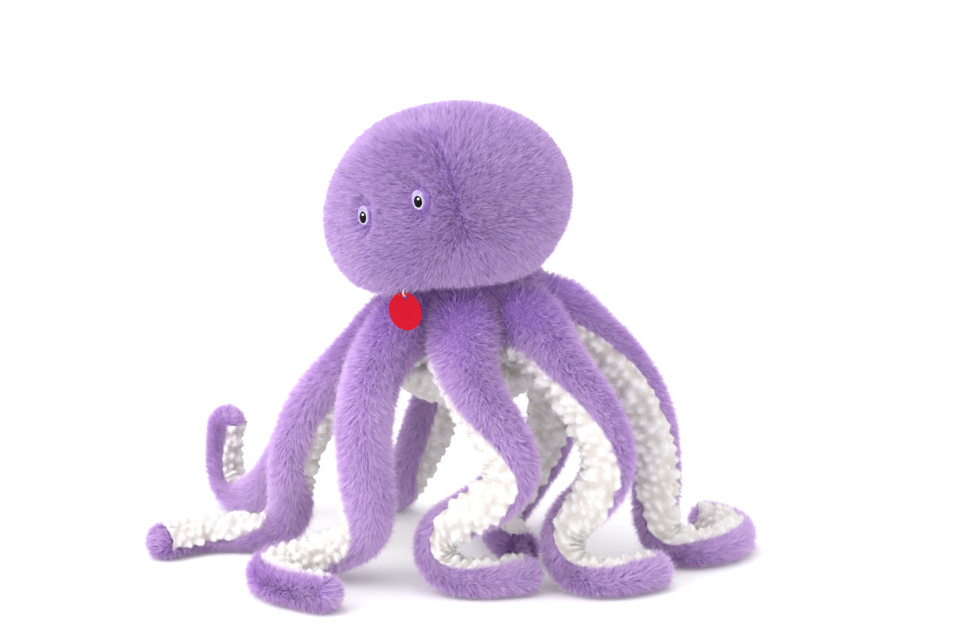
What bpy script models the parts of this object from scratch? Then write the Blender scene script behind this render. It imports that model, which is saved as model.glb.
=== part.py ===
# Plush octopus with a big round head, a sewn body and eight curling arms.
# Metres, +Z up, the face looks along -Y, the origin is on the floor under the toy.

import math

import bmesh
import bpy
import numpy as np
from mathutils import Euler, Matrix, Vector
from mathutils.bvhtree import BVHTree

# Driving dimensions
root_height = 0.236         # middle of every arm where it is sewn to the body
root_circle = 0.050         # from the toy's axis to the middle of that seam
arm_reach = 0.250           # length that the arms' outward and sideways shares are of
arm_root_radius = 0.0215
arm_upper_radius = 0.0240
arm_knee_radius = 0.0190
arm_foot_radius = 0.0168
skin_thickness = 0.0050     # backing cloth with the dense part of its pile
seam_gap = 0.0008           # between two skins that are sewn edge to edge
lining_gap = 0.0004         # between a skin and the fibre filling in it
seat_gap = 0.0005           # between a moving piece and what it turns on
trim_gap = 0.0003           # between a small piece and the skin that carries it
flat_depth = 0.0005         # how far a resting arm is pressed flat on the floor
seat_radius = 0.0245        # rounded side of the body that an arm turns on
belly_drop = 0.0720         # lowest point of the belly under the arms' middles
belly_seam_drop = 0.0120    # seam between body cover and belly under the arms' middles
neck_radius = 0.0560        # round neck that the head nods on
head_half_width = 0.1160
head_half_depth = 0.1085
head_half_top = 0.0935
head_half_bottom = 0.0900
head_forward = 0.0380
head_aside = 0.0036
head_rise = 0.1160          # middle of the head over the arms' middles
head_base_rise = 0.0460     # the head is cut flat this far over the arms' middles
muzzle_swell = 0.0060
brow_dent = 0.0040
crown_furrow = 0.0030
face_seam_back = 0.0080     # seam between face and mantle behind the head's middle
eye_spacing = 0.0570
eye_height = 0.0180
patch_half_width = 0.0075
patch_half_height = 0.0110
patch_thickness = 0.0024
pupil_half_width = 0.0042
pupil_half_height = 0.0056
pupil_thickness = 0.0014
tag_radius = 0.0175
tag_thickness = 0.0007
tag_hole_radius = 0.0022
tag_hole_edge = 0.0022      # from the hole's rim to the tag's rim
hang_gap = 0.00045          # between the hole's upper edge and the loop it hangs on
loop_radius = 0.0036
loop_wire_radius = 0.0006
chin_forward = 0.1275       # how far in front of the toy's axis the tag hangs
tag_aside = 0.0045
cutter_overrun = 0.0200
centre_aside = 0.0402       # from the toy's own axis to the middle of its whole spread
centre_back = 0.0165

arm_count = 8
first_bearing = math.radians(22.5)
window_half_angle = math.radians(65.0)
head_roll = math.radians(-19.0)
head_turn = math.radians(4.7)
seat_turn = math.radians(2.3)           # keeps the seat's edges off the arm's own lines

# Shares of an arm's length at which its radius is named: root, upper, knee and foot
radius_place_shares = (0.0, 0.12, 0.42, 0.62, 0.78, 1.0)
tube_start_share = 0.022
ball_flat_share = 0.15
# Belly's outline under the arms' seats: shares of root_circle outward and belly_drop down
belly_shares = ((0.86, 0.50), (0.80, 0.68), (0.62, 0.86), (0.36, 0.96), (0.0, 1.0))

# Each arm's middle line, from its seam to its tip. A row has the place outward
# and sideways as shares of arm_reach, the clear height as a share of the root's,
# and the way that the white underside faces, outward, sideways and up.
# A height of zero lies on the floor.
arm_route_shares = (
    (
        (0.000, 0.000, 1.000, 0.06, -0.01, -1.00),
        (0.106, -0.004, 0.983, -0.33, -0.36, -0.87),
        (0.197, 0.040, 0.843, -0.36, -0.77, -0.53),
        (0.239, 0.121, 0.696, 0.01, -0.81, -0.59),
        (0.264, 0.197, 0.546, 0.44, -0.86, -0.27),
        (0.263, 0.205, 0.442, 0.76, -0.64, 0.11),
        (0.252, 0.147, 0.354, 0.94, -0.31, 0.17),
        (0.228, 0.009, 0.254, 0.97, -0.05, -0.24),
        (0.211, -0.077, 0.158, 0.53, 0.78, -0.32),
        (0.219, -0.077, 0.068, 0.04, 0.90, 0.42),
        (0.238, -0.014, 0.010, -0.44, 0.35, 0.82),
        (0.242, 0.092, 0.000, -0.63, -0.10, 0.77),
        (0.190, 0.238, 0.000, -0.69, -0.32, 0.65),
    ),
    (
        (0.000, 0.000, 1.000, 0.18, 0.02, -0.98),
        (0.115, 0.016, 1.000, -0.15, -0.32, -0.94),
        (0.239, 0.064, 0.877, -0.39, -0.68, -0.62),
        (0.341, 0.109, 0.736, -0.20, -0.88, -0.43),
        (0.414, 0.143, 0.578, 0.03, -0.99, -0.14),
        (0.431, 0.148, 0.450, 0.25, -0.97, 0.07),
        (0.390, 0.121, 0.335, 0.47, -0.88, 0.03),
        (0.300, 0.070, 0.210, 0.87, -0.36, -0.32),
        (0.285, 0.052, 0.125, 0.96, 0.26, 0.09),
        (0.338, 0.052, 0.028, 0.34, 0.63, 0.70),
        (0.440, 0.103, 0.000, -0.40, 0.43, 0.81),
        (0.475, 0.164, 0.000, -0.62, 0.21, 0.76),
        (0.499, 0.317, 0.000, -0.78, 0.05, 0.63),
    ),
    (
        (0.000, 0.000, 1.000, 0.31, 0.11, -0.94),
        (0.113, 0.038, 1.021, -0.03, -0.42, -0.91),
        (0.238, 0.058, 0.929, -0.38, -0.77, -0.51),
        (0.364, 0.066, 0.780, -0.31, -0.91, -0.27),
        (0.454, 0.069, 0.603, -0.24, -0.97, -0.10),
        (0.495, 0.067, 0.419, -0.06, -1.00, 0.03),
        (0.507, 0.052, 0.247, 0.30, -0.94, 0.15),
        (0.513, 0.026, 0.110, 0.68, -0.66, 0.32),
        (0.560, 0.003, 0.017, 0.54, -0.14, 0.83),
        (0.652, -0.001, 0.000, -0.02, 0.35, 0.94),
        (0.754, 0.054, 0.000, -0.45, 0.46, 0.77),
        (0.806, 0.140, 0.000, -0.71, 0.19, 0.68),
        (0.795, 0.261, 0.000, -0.69, -0.37, 0.63),
        (0.699, 0.352, 0.000, -0.47, -0.68, 0.57),
    ),
    (
        (0.000, 0.000, 1.000, -0.40, -0.14, -0.91),
        (0.119, 0.040, 0.906, -0.62, -0.18, -0.76),
        (0.211, 0.065, 0.754, -0.85, -0.26, -0.46),
        (0.262, 0.077, 0.599, -0.93, -0.29, -0.23),
        (0.275, 0.079, 0.461, -0.93, -0.37, 0.00),
        (0.255, 0.091, 0.328, -0.87, -0.45, 0.21),
        (0.209, 0.109, 0.216, -0.79, -0.49, 0.37),
        (0.141, 0.131, 0.107, -0.77, -0.51, 0.38),
        (0.072, 0.139, 0.015, -0.32, -0.51, 0.80),
        (0.010, 0.106, 0.000, 0.21, -0.25, 0.95),
        (-0.012, 0.069, 0.000, 0.32, -0.15, 0.93),
        (-0.074, -0.068, 0.000, 0.49, -0.20, 0.85),
        (-0.120, -0.199, 0.000, 0.60, -0.20, 0.77),
    ),
    (
        (0.000, 0.000, 1.000, -0.47, -0.20, -0.86),
        (0.114, 0.055, 0.880, -0.73, -0.23, -0.64),
        (0.177, 0.122, 0.690, -0.67, -0.60, -0.44),
        (0.222, 0.176, 0.530, -0.43, -0.78, -0.44),
        (0.249, 0.226, 0.383, -0.27, -0.89, -0.37),
        (0.256, 0.270, 0.255, -0.09, -0.93, -0.36),
        (0.258, 0.312, 0.145, 0.17, -0.90, -0.40),
        (0.275, 0.352, 0.063, 0.75, -0.66, -0.03),
        (0.323, 0.393, 0.014, 0.64, -0.49, 0.60),
        (0.405, 0.443, 0.000, 0.28, -0.39, 0.88),
        (0.501, 0.498, 0.000, 0.16, -0.30, 0.94),
        (0.630, 0.565, 0.000, 0.10, -0.20, 0.98),
        (0.751, 0.627, 0.000, 0.06, -0.12, 0.99),
    ),
    (
        (0.000, 0.000, 1.000, -0.52, -0.19, -0.83),
        (0.116, 0.045, 0.890, -0.59, -0.16, -0.79),
        (0.230, 0.106, 0.758, -0.66, -0.17, -0.73),
        (0.342, 0.168, 0.622, -0.66, -0.17, -0.73),
        (0.442, 0.224, 0.493, -0.71, -0.24, -0.66),
        (0.528, 0.273, 0.358, -0.75, -0.28, -0.60),
        (0.602, 0.327, 0.228, -0.69, -0.45, -0.56),
        (0.664, 0.366, 0.107, -0.08, -0.92, -0.38),
        (0.742, 0.395, 0.025, 0.48, -0.81, 0.34),
        (0.816, 0.415, 0.000, 0.09, -0.60, 0.79),
        (0.894, 0.429, 0.052, -0.67, -0.57, 0.48),
        (0.917, 0.428, 0.165, -0.83, -0.56, 0.00),
        (0.915, 0.415, 0.326, -0.82, -0.57, -0.10),
    ),
    (
        (0.000, 0.000, 1.000, -0.40, -0.09, -0.91),
        (0.120, 0.025, 0.918, -0.53, -0.09, -0.84),
        (0.230, 0.044, 0.810, -0.66, -0.13, -0.74),
        (0.330, 0.056, 0.695, -0.72, -0.15, -0.68),
        (0.413, 0.060, 0.572, -0.85, -0.14, -0.51),
        (0.466, 0.056, 0.435, -0.94, -0.14, -0.30),
        (0.495, 0.046, 0.304, -0.91, -0.40, -0.10),
        (0.505, 0.033, 0.180, -0.38, -0.92, 0.08),
        (0.522, 0.029, 0.069, 0.39, -0.90, 0.16),
        (0.603, 0.040, 0.009, 0.29, -0.24, 0.92),
        (0.730, 0.043, 0.000, -0.02, 0.36, 0.93),
        (0.860, 0.073, 0.000, -0.23, 0.46, 0.86),
        (0.975, 0.172, 0.000, -0.40, 0.37, 0.84),
    ),
    (
        (0.000, 0.000, 1.000, 0.17, 0.01, -0.99),
        (0.118, 0.009, 1.000, -0.18, -0.22, -0.96),
        (0.253, 0.027, 0.882, -0.68, -0.42, -0.60),
        (0.329, 0.049, 0.717, -0.66, -0.67, -0.33),
        (0.360, 0.077, 0.508, -0.30, -0.94, -0.15),
        (0.350, 0.087, 0.298, 0.31, -0.95, 0.09),
        (0.338, 0.040, 0.158, 0.72, -0.55, 0.43),
        (0.372, -0.064, 0.066, 0.79, 0.04, 0.61),
        (0.466, -0.165, 0.006, 0.52, 0.56, 0.64),
        (0.574, -0.199, 0.000, -0.10, 0.78, 0.62),
        (0.653, -0.143, 0.000, -0.70, 0.45, 0.55),
        (0.666, -0.015, 0.000, -0.85, -0.17, 0.50),
        (0.602, 0.149, 0.000, -0.79, -0.39, 0.47),
    ),
)

arm_rings = 21
cap_rings = 3
seat_sides = 32

purple = (0.38, 0.22, 0.50)
white = (0.87, 0.86, 0.89)
filling = (0.80, 0.80, 0.78)
lilac = (0.62, 0.50, 0.72)
black = (0.01, 0.01, 0.012)
red = (0.68, 0.0, 0.03)
clear_white = (0.85, 0.86, 0.88)

# Collections
for old in list(bpy.data.objects):
    bpy.data.objects.remove(old)
toy = bpy.data.collections.new("plush_octopus")
cutters = bpy.data.collections.new("cutters")
bpy.context.scene.collection.children.link(toy)
bpy.context.scene.collection.children.link(cutters)


def make_material(name, colour, roughness, metallic=0.0):
    made = bpy.data.materials.new(name)
    made.use_nodes = True
    shader = made.node_tree.nodes["Principled BSDF"]
    shader.inputs["Base Color"].default_value = (*colour, 1.0)
    shader.inputs["Roughness"].default_value = roughness
    shader.inputs["Metallic"].default_value = metallic
    return made


def add_mesh(name, mesh, colour, roughness, parent=None):
    made = bpy.data.objects.new(name, mesh)
    toy.objects.link(made)
    made.data.materials.append(make_material(name, colour, roughness))
    if parent:
        made.parent = parent
    return made


def add_cutter(name, mesh, parent=None):
    made = bpy.data.objects.new(name, mesh)
    cutters.objects.link(made)
    made.hide_render = True
    made.display_type = "WIRE"
    if parent:
        made.parent = parent
    return made


def cut(target, cutter, operation="DIFFERENCE"):
    modifier = target.modifiers.new(cutter.name, "BOOLEAN")
    modifier.operation = operation
    modifier.solver = "EXACT"
    modifier.object = cutter


def shade(mesh):
    mesh.shade_smooth()
    mesh.set_sharp_from_angle(angle=math.radians(50.0))


def add_pivot(name, place, turn=(0.0, 0.0, 0.0), parent=None):
    made = bpy.data.objects.new(name, None)
    toy.objects.link(made)
    made.location = place
    made.rotation_euler = turn
    made.parent = parent
    return made


# Loft through rings of points, the last closed to a tip and the first to a root if these are given
def stitch(shape, rings, closed, omit, tip, root):
    rows = [[shape.verts.new(point) for point in ring] for ring in rings]
    columns = len(rings[0])
    steps = range(columns if closed else columns - 1)
    faces = []
    for i in range(len(rows) - 1):
        for j in steps:
            if not omit(i, j):
                k = (j + 1) % columns
                faces.append((rows[i][j], rows[i][k], rows[i + 1][k], rows[i + 1][j]))
    for end, row, flip in ((tip, rows[-1], False), (root, rows[0], True)):
        if end is None:
            continue
        point = shape.verts.new(end)
        for j in steps:
            pair = (row[j], row[(j + 1) % columns])
            faces.append((*reversed(pair), point) if flip else (*pair, point))
    return faces


def halves(quad):
    """Places in a four-cornered face of its two triangles, on its shorter diagonal."""
    if len(quad) == 3:
        return ((0, 1, 2),)
    first, second, third, fourth = (vert.co for vert in quad)
    if (first - third).length <= (second - fourth).length:
        return ((0, 1, 2), (0, 2, 3))
    return ((0, 1, 3), (1, 2, 3))


def loft(name, rings, closed, omit=lambda ring, column: False, tip=None, root=None, lining=None):
    """Closed form from rings, or a skin between them and the same rings of its lining."""
    shape = bmesh.new()
    outside = stitch(shape, rings, closed, omit, tip, root)
    made = []
    for quad in outside:
        made += [shape.faces.new([quad[k] for k in corners]) for corners in halves(quad)]
    if lining:
        lined_rings, lined_tip = lining
        inside = stitch(shape, lined_rings, closed, omit, lined_tip, root)
        partner = {}
        rims = []
        for quad, lined in zip(outside, inside):
            partner.update(zip(quad, lined))
        for face in made:
            for corner in face.loops:
                if corner.edge.is_boundary:
                    first, second = corner.vert, corner.link_loop_next.vert
                    rims.append((second, first, partner[first], partner[second]))
        for quad, lined in zip(outside, inside):
            for corners in halves(quad):
                shape.faces.new([lined[k] for k in reversed(corners)])
        for rim in rims:
            for corners in halves(rim):
                shape.faces.new([rim[k] for k in corners])
    loose = [vert for vert in shape.verts if not vert.link_faces]
    bmesh.ops.delete(shape, geom=loose, context="VERTS")
    mesh = bpy.data.meshes.new(name)
    shape.to_mesh(mesh)
    shape.free()
    shade(mesh)
    return mesh


# Arm geometry
def arm_radius(share):
    radii = (
        arm_root_radius, arm_upper_radius, arm_upper_radius,
        arm_knee_radius, arm_foot_radius, arm_foot_radius,
    )
    return float(np.interp(share, radius_place_shares, radii))


def natural_spline(points, stations, wanted):
    """Values of a natural cubic spline through points at stations."""
    count = len(points)
    gaps = np.diff(stations)
    system = np.zeros((count, count))
    target = np.zeros(points.shape)
    system[0, 0] = system[-1, -1] = 1.0
    for i in range(1, count - 1):
        system[i, i - 1:i + 2] = gaps[i - 1], 2.0 * (gaps[i - 1] + gaps[i]), gaps[i]
        slope_after = (points[i + 1] - points[i]) / gaps[i]
        slope_before = (points[i] - points[i - 1]) / gaps[i - 1]
        target[i] = 6.0 * (slope_after - slope_before)
    bend = np.linalg.solve(system, target)
    values = []
    for station in wanted:
        i = min(max(int(np.searchsorted(stations, station)) - 1, 0), count - 2)
        before = (stations[i + 1] - station) / gaps[i]
        after = (station - stations[i]) / gaps[i]
        straight = before * points[i] + after * points[i + 1]
        curved = (before ** 3 - before) * bend[i] + (after ** 3 - after) * bend[i + 1]
        values.append(straight + curved * gaps[i] ** 2 / 6.0)
    return np.array(values)


def arc_shares(points):
    steps = np.linalg.norm(np.diff(points, axis=0), axis=1)
    along = np.concatenate([[0.0], np.cumsum(steps)])
    return along / along[-1]


def arm_rows(route):
    """Middle line points and facings in the arm's own frame: X out, Y side, Z up from its seam."""
    shares = np.linspace(0.0, 1.0, len(route))
    clear_height = root_height - arm_root_radius
    for _ in range(3):
        rows = []
        for (out, side, rise, *facing), share in zip(route, shares):
            height = arm_radius(share) + rise * clear_height
            if rise == 0.0:
                height -= flat_depth
            rows.append((out * arm_reach, side * arm_reach, height - root_height, *facing))
        rows = np.array(rows)
        shares = arc_shares(rows[:, :3])
    return rows, shares


def arm_frames(route, count, start_share, end_share):
    """Frames along the arm, closer together where it bends: centre, tangent, facing, side, radius."""
    rows, shares = arm_rows(route)
    fine = np.linspace(0.0, 1.0, 241)
    line = natural_spline(rows, shares, fine)
    tangents = np.gradient(line[:, :3], axis=0)
    tangents /= np.linalg.norm(tangents, axis=1)[:, None]
    facings = line[:, 3:] / np.linalg.norm(line[:, 3:], axis=1)[:, None]
    turning = np.linalg.norm(np.gradient(tangents, axis=0), axis=1)
    turning += np.linalg.norm(np.gradient(facings, axis=0), axis=1)
    inside = (fine >= start_share) & (fine <= end_share)
    weight = np.where(inside, 1.0 + 20.0 * turning, 0.0)
    travelled = np.cumsum(weight)
    wanted = np.linspace(travelled[inside][0], travelled[inside][-1], count)
    picks = np.interp(wanted, travelled[inside], np.arange(len(fine))[inside])
    frames = []
    for pick in picks:
        whole = int(min(pick, len(fine) - 2))
        part = pick - whole
        row = line[whole] * (1.0 - part) + line[whole + 1] * part
        tangent = Vector(tangents[whole] * (1.0 - part) + tangents[whole + 1] * part).normalized()
        facing = Vector(row[3:])
        facing = (facing - facing.dot(tangent) * tangent).normalized()
        share = fine[whole] * (1.0 - part) + fine[whole + 1] * part
        frames.append((Vector(row[:3]), tangent, facing, tangent.cross(facing), arm_radius(share)))
    return frames


def window_lines(half):
    """Lengthwise lines of the underside, as angles from its middle."""
    return [-half, -0.5 * half, 0.0, 0.5 * half, half]


def ring_lines():
    """Lengthwise lines all round an arm, those of the underside's window first."""
    span = 2.0 * (math.pi - window_half_angle)
    outside = [window_half_angle + span * k / 7.0 for k in range(1, 7)]
    return window_lines(window_half_angle) + outside


def ring_points(frame, angles, inset=0.0):
    centre, tangent, facing, side, radius = frame
    radius -= inset
    return [centre + radius * (math.cos(a) * facing + math.sin(a) * side) for a in angles]


def cap_points(frame, angles, inset=0.0):
    """Rings of a round tip, and its end point."""
    centre, tangent, facing, side, radius = frame
    radius -= inset
    rings = []
    for k in range(1, cap_rings):
        lean = 0.5 * math.pi * k / cap_rings
        middle = centre + tangent * radius * math.sin(lean)
        reach = radius * math.cos(lean)
        rings.append(
            [middle + reach * (math.cos(a) * facing + math.sin(a) * side) for a in angles]
        )
    return rings, centre + tangent * radius


def seat_cutter(name, pivot):
    """Cylinder on the arm's hinge line that hollows the arm's root end."""
    shape = bmesh.new()
    bmesh.ops.create_cone(
        shape, cap_ends=True, segments=seat_sides,
        radius1=seat_radius + seat_gap, radius2=seat_radius + seat_gap,
        depth=2.0 * (arm_upper_radius + cutter_overrun),
        matrix=Matrix.Rotation(math.radians(90.0), 4, "X") @ Matrix.Rotation(seat_turn, 4, "Z"),
    )
    mesh = bpy.data.meshes.new(name)
    shape.to_mesh(mesh)
    shape.free()
    return add_cutter(name, mesh, pivot)


def floor_cutter():
    """Block under the floor that presses the resting arms flat."""
    half = root_circle + 2.0 * arm_reach
    bpy.ops.mesh.primitive_cube_add(size=1.0)
    block = bpy.context.object
    block.name = "floor_block"
    block.scale = (2.0 * half, 2.0 * half, cutter_overrun)
    block.location = (0.0, 0.0, -0.5 * cutter_overrun)
    for collection in list(block.users_collection):
        collection.objects.unlink(block)
    cutters.objects.link(block)
    block.hide_render = True
    block.display_type = "WIRE"
    return block


def build_arm(number, route, floor_block):
    bearing = first_bearing + 2.0 * math.pi * (number - 1) / arm_count
    outward = Vector((math.sin(bearing), -math.cos(bearing), 0.0))
    place = outward * root_circle + Vector((0.0, 0.0, root_height))
    turn = math.atan2(outward.y, outward.x)
    pivot = add_pivot(f"arm_{number}_pivot", place, (0.0, 0.0, turn))
    cutter = seat_cutter(f"arm_{number}_seat", pivot)
    angles = ring_lines()

    # Fur skin, open along the underside and closed round the tip
    frames = arm_frames(route, arm_rings, tube_start_share, 1.0)
    window_end = arm_rings - 1

    def arm_rings_and_tip(lines, inset):
        cap, tip = cap_points(frames[-1], lines, inset)
        return [ring_points(frame, lines, inset) for frame in frames] + cap, tip

    def in_window(ring, column):
        return ring < window_end and column < 4

    rings, tip = arm_rings_and_tip(angles, 0.0)
    lining = arm_rings_and_tip(angles, skin_thickness)
    fur = add_mesh(
        f"arm_{number}_fur", loft(f"arm_{number}_fur", rings, True, in_window, tip, lining=lining),
        purple, 0.95, pivot,
    )
    cut(fur, cutter)
    cut(fur, floor_block)

    # White underside panel, in the window with a seam's gap all round
    panel = []
    panel_lining = []
    for i, frame in enumerate(frames[:window_end + 1]):
        lines = window_lines(window_half_angle - seam_gap / frame[4])
        if i == window_end:
            frame = (frame[0] - frame[1] * seam_gap, *frame[1:])
        panel.append(ring_points(frame, lines))
        panel_lining.append(ring_points(frame, lines, skin_thickness))
    underside = add_mesh(
        f"arm_{number}_underside",
        loft(f"arm_{number}_underside", panel, False, lining=(panel_lining, None)),
        white, 0.95, pivot,
    )
    cut(underside, cutter)

    # Fibre filling, on some of the lines of the skin's rings
    core_lines = [angles[k] for k in (0, 2, 4, 6, 8, 10)]
    core_rings, tip = arm_rings_and_tip(core_lines, skin_thickness + lining_gap)
    core = add_mesh(
        f"arm_{number}_filling",
        loft(f"arm_{number}_filling", core_rings, True, tip=tip, root=frames[0][0]),
        filling, 1.0, pivot,
    )
    cut(core, cutter)
    return pivot


# Body
def body_profile(inset):
    """Half outline of the body, top to bottom, from the axis round an arm's seat to the belly."""
    outline = [Vector((0.0, root_height + seat_radius))]
    for k in range(13):
        lean = math.radians(90.0 - 16.5 * k)
        across = root_circle + seat_radius * math.cos(lean)
        outline.append(Vector((across, root_height + seat_radius * math.sin(lean))))
    for across, drop in belly_shares:
        outline.append(Vector((across * root_circle, root_height - drop * belly_drop)))
    placed = [outline[0] - Vector((0.0, inset))]
    for before, point, after in zip(outline, outline[1:], outline[2:]):
        normals = []
        for start, end in ((before, point), (point, after)):
            run = (end - start).normalized()
            normals.append(Vector((-run.y, run.x)))
        middle = (normals[0] + normals[1]).normalized()
        placed.append(point - middle * (inset / middle.dot(normals[0])))
    placed.append(outline[-1] + Vector((0.0, inset)))
    return placed


def turned_body(name, inset):
    """Eight-sided turned form, with a flat side to each arm."""
    to_corner = 1.0 / math.cos(math.pi / arm_count)
    shape = bmesh.new()
    verts = [shape.verts.new((x * to_corner, 0.0, z)) for x, z in body_profile(inset)]
    for first, second in zip(verts, verts[1:]):
        shape.edges.new((first, second))
    mesh = bpy.data.meshes.new(name)
    shape.to_mesh(mesh)
    shape.free()
    return mesh


def turn_round(target):
    modifier = target.modifiers.new("turn", "SCREW")
    modifier.steps = arm_count
    modifier.render_steps = arm_count
    modifier.use_merge_vertices = True
    modifier.merge_threshold = 0.00001
    modifier.use_smooth_shade = True


def ball_mesh(name, radius, segments=20, rings=12):
    """Ball with its lower part flattened, so that it stays over the belly."""
    shape = bmesh.new()
    bmesh.ops.create_uvsphere(shape, u_segments=segments, v_segments=rings, radius=radius)
    for vert in shape.verts:
        vert.co.z = max(vert.co.z, -ball_flat_share * radius)
    mesh = bpy.data.meshes.new(name)
    shape.to_mesh(mesh)
    shape.free()
    return mesh


def half_space(name, top):
    """Block that fills the space under a height, or over it, out past the body."""
    half = root_circle + seat_radius + cutter_overrun
    shape = bmesh.new()
    tall = belly_drop + neck_radius + cutter_overrun
    bmesh.ops.create_cube(shape, size=1.0)
    bmesh.ops.scale(shape, vec=(2.0 * half, 2.0 * half, tall), verts=shape.verts)
    mesh = bpy.data.meshes.new(name)
    shape.to_mesh(mesh)
    shape.free()
    block = add_cutter(name, mesh)
    seam = root_height - belly_seam_drop
    block.location.z = seam - 0.5 * tall if top else seam + 0.5 * tall
    return block


def build_body():
    neck_place = (0.0, 0.0, root_height)
    inner = add_cutter("body_hollow", turned_body("body_hollow", skin_thickness))
    turn_round(inner)
    neck_inner = add_cutter("neck_hollow", ball_mesh("neck_hollow", neck_radius - skin_thickness))
    neck_inner.location = neck_place
    neck_outer = add_cutter("neck_ball", ball_mesh("neck_ball", neck_radius))
    neck_outer.location = neck_place
    below = half_space("below_seam", True)
    below.location.z += 0.5 * seam_gap
    above = half_space("above_seam", False)
    above.location.z -= 0.5 * seam_gap

    cover = add_mesh("body_fur", turned_body("body_fur", 0.0), purple, 0.95)
    turn_round(cover)
    cut(cover, neck_outer, "UNION")
    cut(cover, inner)
    cut(cover, neck_inner)
    cut(cover, below)

    belly = add_mesh("belly_underside", turned_body("belly_underside", 0.0), white, 0.95)
    turn_round(belly)
    cut(belly, inner)
    cut(belly, above)

    inset = skin_thickness + lining_gap
    core = add_mesh("body_filling", turned_body("body_filling", inset), filling, 1.0)
    turn_round(core)
    neck_core = add_cutter("neck_core", ball_mesh("neck_core", neck_radius - inset))
    neck_core.location = neck_place
    cut(core, neck_core, "UNION")


# Head
def swell(direction):
    """Radial change of the head's plain form: fuller muzzle, dented brow, furrow over the crown."""
    muzzle = Vector((-0.10, -0.93, -0.36)).normalized()
    brow = Vector((0.0, -0.86, 0.52)).normalized()
    near_muzzle = math.exp(-((1.0 - direction.dot(muzzle)) / 0.16))
    near_brow = math.exp(-((1.0 - direction.dot(brow)) / 0.10))
    upper = max(direction.z, 0.0)
    furrow = math.exp(-((direction.y + 0.30) / 0.16) ** 2) * upper
    return muzzle_swell * near_muzzle - brow_dent * near_brow - crown_furrow * furrow


def box_mesh(name, width, height):
    shape = bmesh.new()
    bmesh.ops.create_cube(shape, size=1.0)
    bmesh.ops.scale(shape, vec=(width, width, height), verts=shape.verts)
    mesh = bpy.data.meshes.new(name)
    shape.to_mesh(mesh)
    shape.free()
    return mesh


def head_mesh(name, inset, segments, rings):
    bpy.ops.mesh.primitive_uv_sphere_add(segments=segments, ring_count=rings, radius=1.0)
    ball = bpy.context.object
    mesh = ball.data
    mesh.name = name
    bpy.data.objects.remove(ball)
    for vert in mesh.vertices:
        direction = vert.co.normalized()
        tall = head_half_top if direction.z > 0.0 else head_half_bottom
        reach = Vector((
            direction.x * (head_half_width - inset),
            direction.y * (head_half_depth - inset),
            direction.z * (tall - inset),
        ))
        vert.co = reach + direction * swell(direction)
    shape = bmesh.new()
    shape.from_mesh(mesh)
    bmesh.ops.triangulate(shape, faces=shape.faces, quad_method="FIXED")
    shape.to_mesh(mesh)
    shape.free()
    shade(mesh)
    return mesh


def seam_block(name, front, pivot):
    """Block in front of the face seam, or behind it, in the head's frame."""
    half = head_half_width + cutter_overrun
    deep = head_half_depth + cutter_overrun + face_seam_back
    shape = bmesh.new()
    bmesh.ops.create_cube(shape, size=1.0)
    bmesh.ops.scale(shape, vec=(2.0 * half, deep, 2.0 * half), verts=shape.verts)
    mesh = bpy.data.meshes.new(name)
    shape.to_mesh(mesh)
    shape.free()
    block = add_cutter(name, mesh, pivot)
    shift = 0.5 * (deep - seam_gap)
    block.location.y = face_seam_back - shift if front else face_seam_back + shift
    return block


def seated_lens(name, tree, x, z, half_width, half_height, thickness, lift, colour, pivot):
    """Thin oval lens on the face's surface, its back just clear of the fur's backing."""
    start = Vector((x, -2.0 * head_half_depth, z))
    place, normal, _, _ = tree.ray_cast(start, Vector((0.0, 1.0, 0.0)))
    shape = bmesh.new()
    bmesh.ops.create_uvsphere(shape, u_segments=14, v_segments=7, radius=1.0)
    bmesh.ops.scale(shape, vec=(half_width, 0.5 * thickness, half_height), verts=shape.verts)
    mesh = bpy.data.meshes.new(name)
    shape.to_mesh(mesh)
    shape.free()
    shade(mesh)
    lens = add_mesh(name, mesh, colour, 0.6, pivot)
    lens.location = place + normal * (0.5 * thickness + trim_gap + lift)
    lens.rotation_euler = normal.to_track_quat("-Y", "Z").to_euler()
    return lens


def build_head():
    neck = add_pivot("head_pivot", (0.0, 0.0, root_height))
    offset = Vector((-head_aside, -head_forward, head_rise))
    frame = add_pivot("head_frame", offset, (0.0, head_roll, head_turn), neck)
    bpy.context.view_layer.update()

    socket = add_cutter(
        "neck_socket", ball_mesh("neck_socket", neck_radius + seat_gap, 24, 16), neck
    )
    base = add_cutter("head_base", box_mesh("head_base", 2.0 * head_half_width, head_half_bottom))
    base.location.z = root_height + head_base_rise - 0.5 * head_half_bottom
    inner = add_cutter("head_hollow", head_mesh("head_hollow", skin_thickness, 20, 12), frame)
    behind = seam_block("behind_seam", False, frame)
    before = seam_block("before_seam", True, frame)

    face = add_mesh("face_fur", head_mesh("face_fur", 0.0, 20, 12), purple, 0.95, frame)
    cut(face, socket)
    cut(face, base)
    cut(face, inner)
    cut(face, behind)
    mantle = add_mesh("mantle_fur", head_mesh("mantle_fur", 0.0, 20, 12), purple, 0.95, frame)
    cut(mantle, socket)
    cut(mantle, base)
    cut(mantle, inner)
    cut(mantle, before)
    core_inset = skin_thickness + lining_gap
    core = add_mesh("head_filling", head_mesh("head_filling", core_inset, 20, 12), filling, 1.0, frame)
    cut(core, socket)
    cut(core, base)

    mesh = face.data
    tree = BVHTree.FromPolygons(
        [vert.co for vert in mesh.vertices], [list(face.vertices) for face in mesh.polygons]
    )
    for side, x in (("right", -0.5 * eye_spacing), ("left", 0.5 * eye_spacing)):
        seated_lens(
            f"eye_patch_{side}", tree, x, eye_height, patch_half_width, patch_half_height,
            patch_thickness, 0.0, lilac, frame,
        )
        seated_lens(
            f"pupil_{side}", tree, x, eye_height, pupil_half_width, pupil_half_height,
            pupil_thickness, patch_thickness + trim_gap, black, frame,
        )
    return neck, frame, tree


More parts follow.
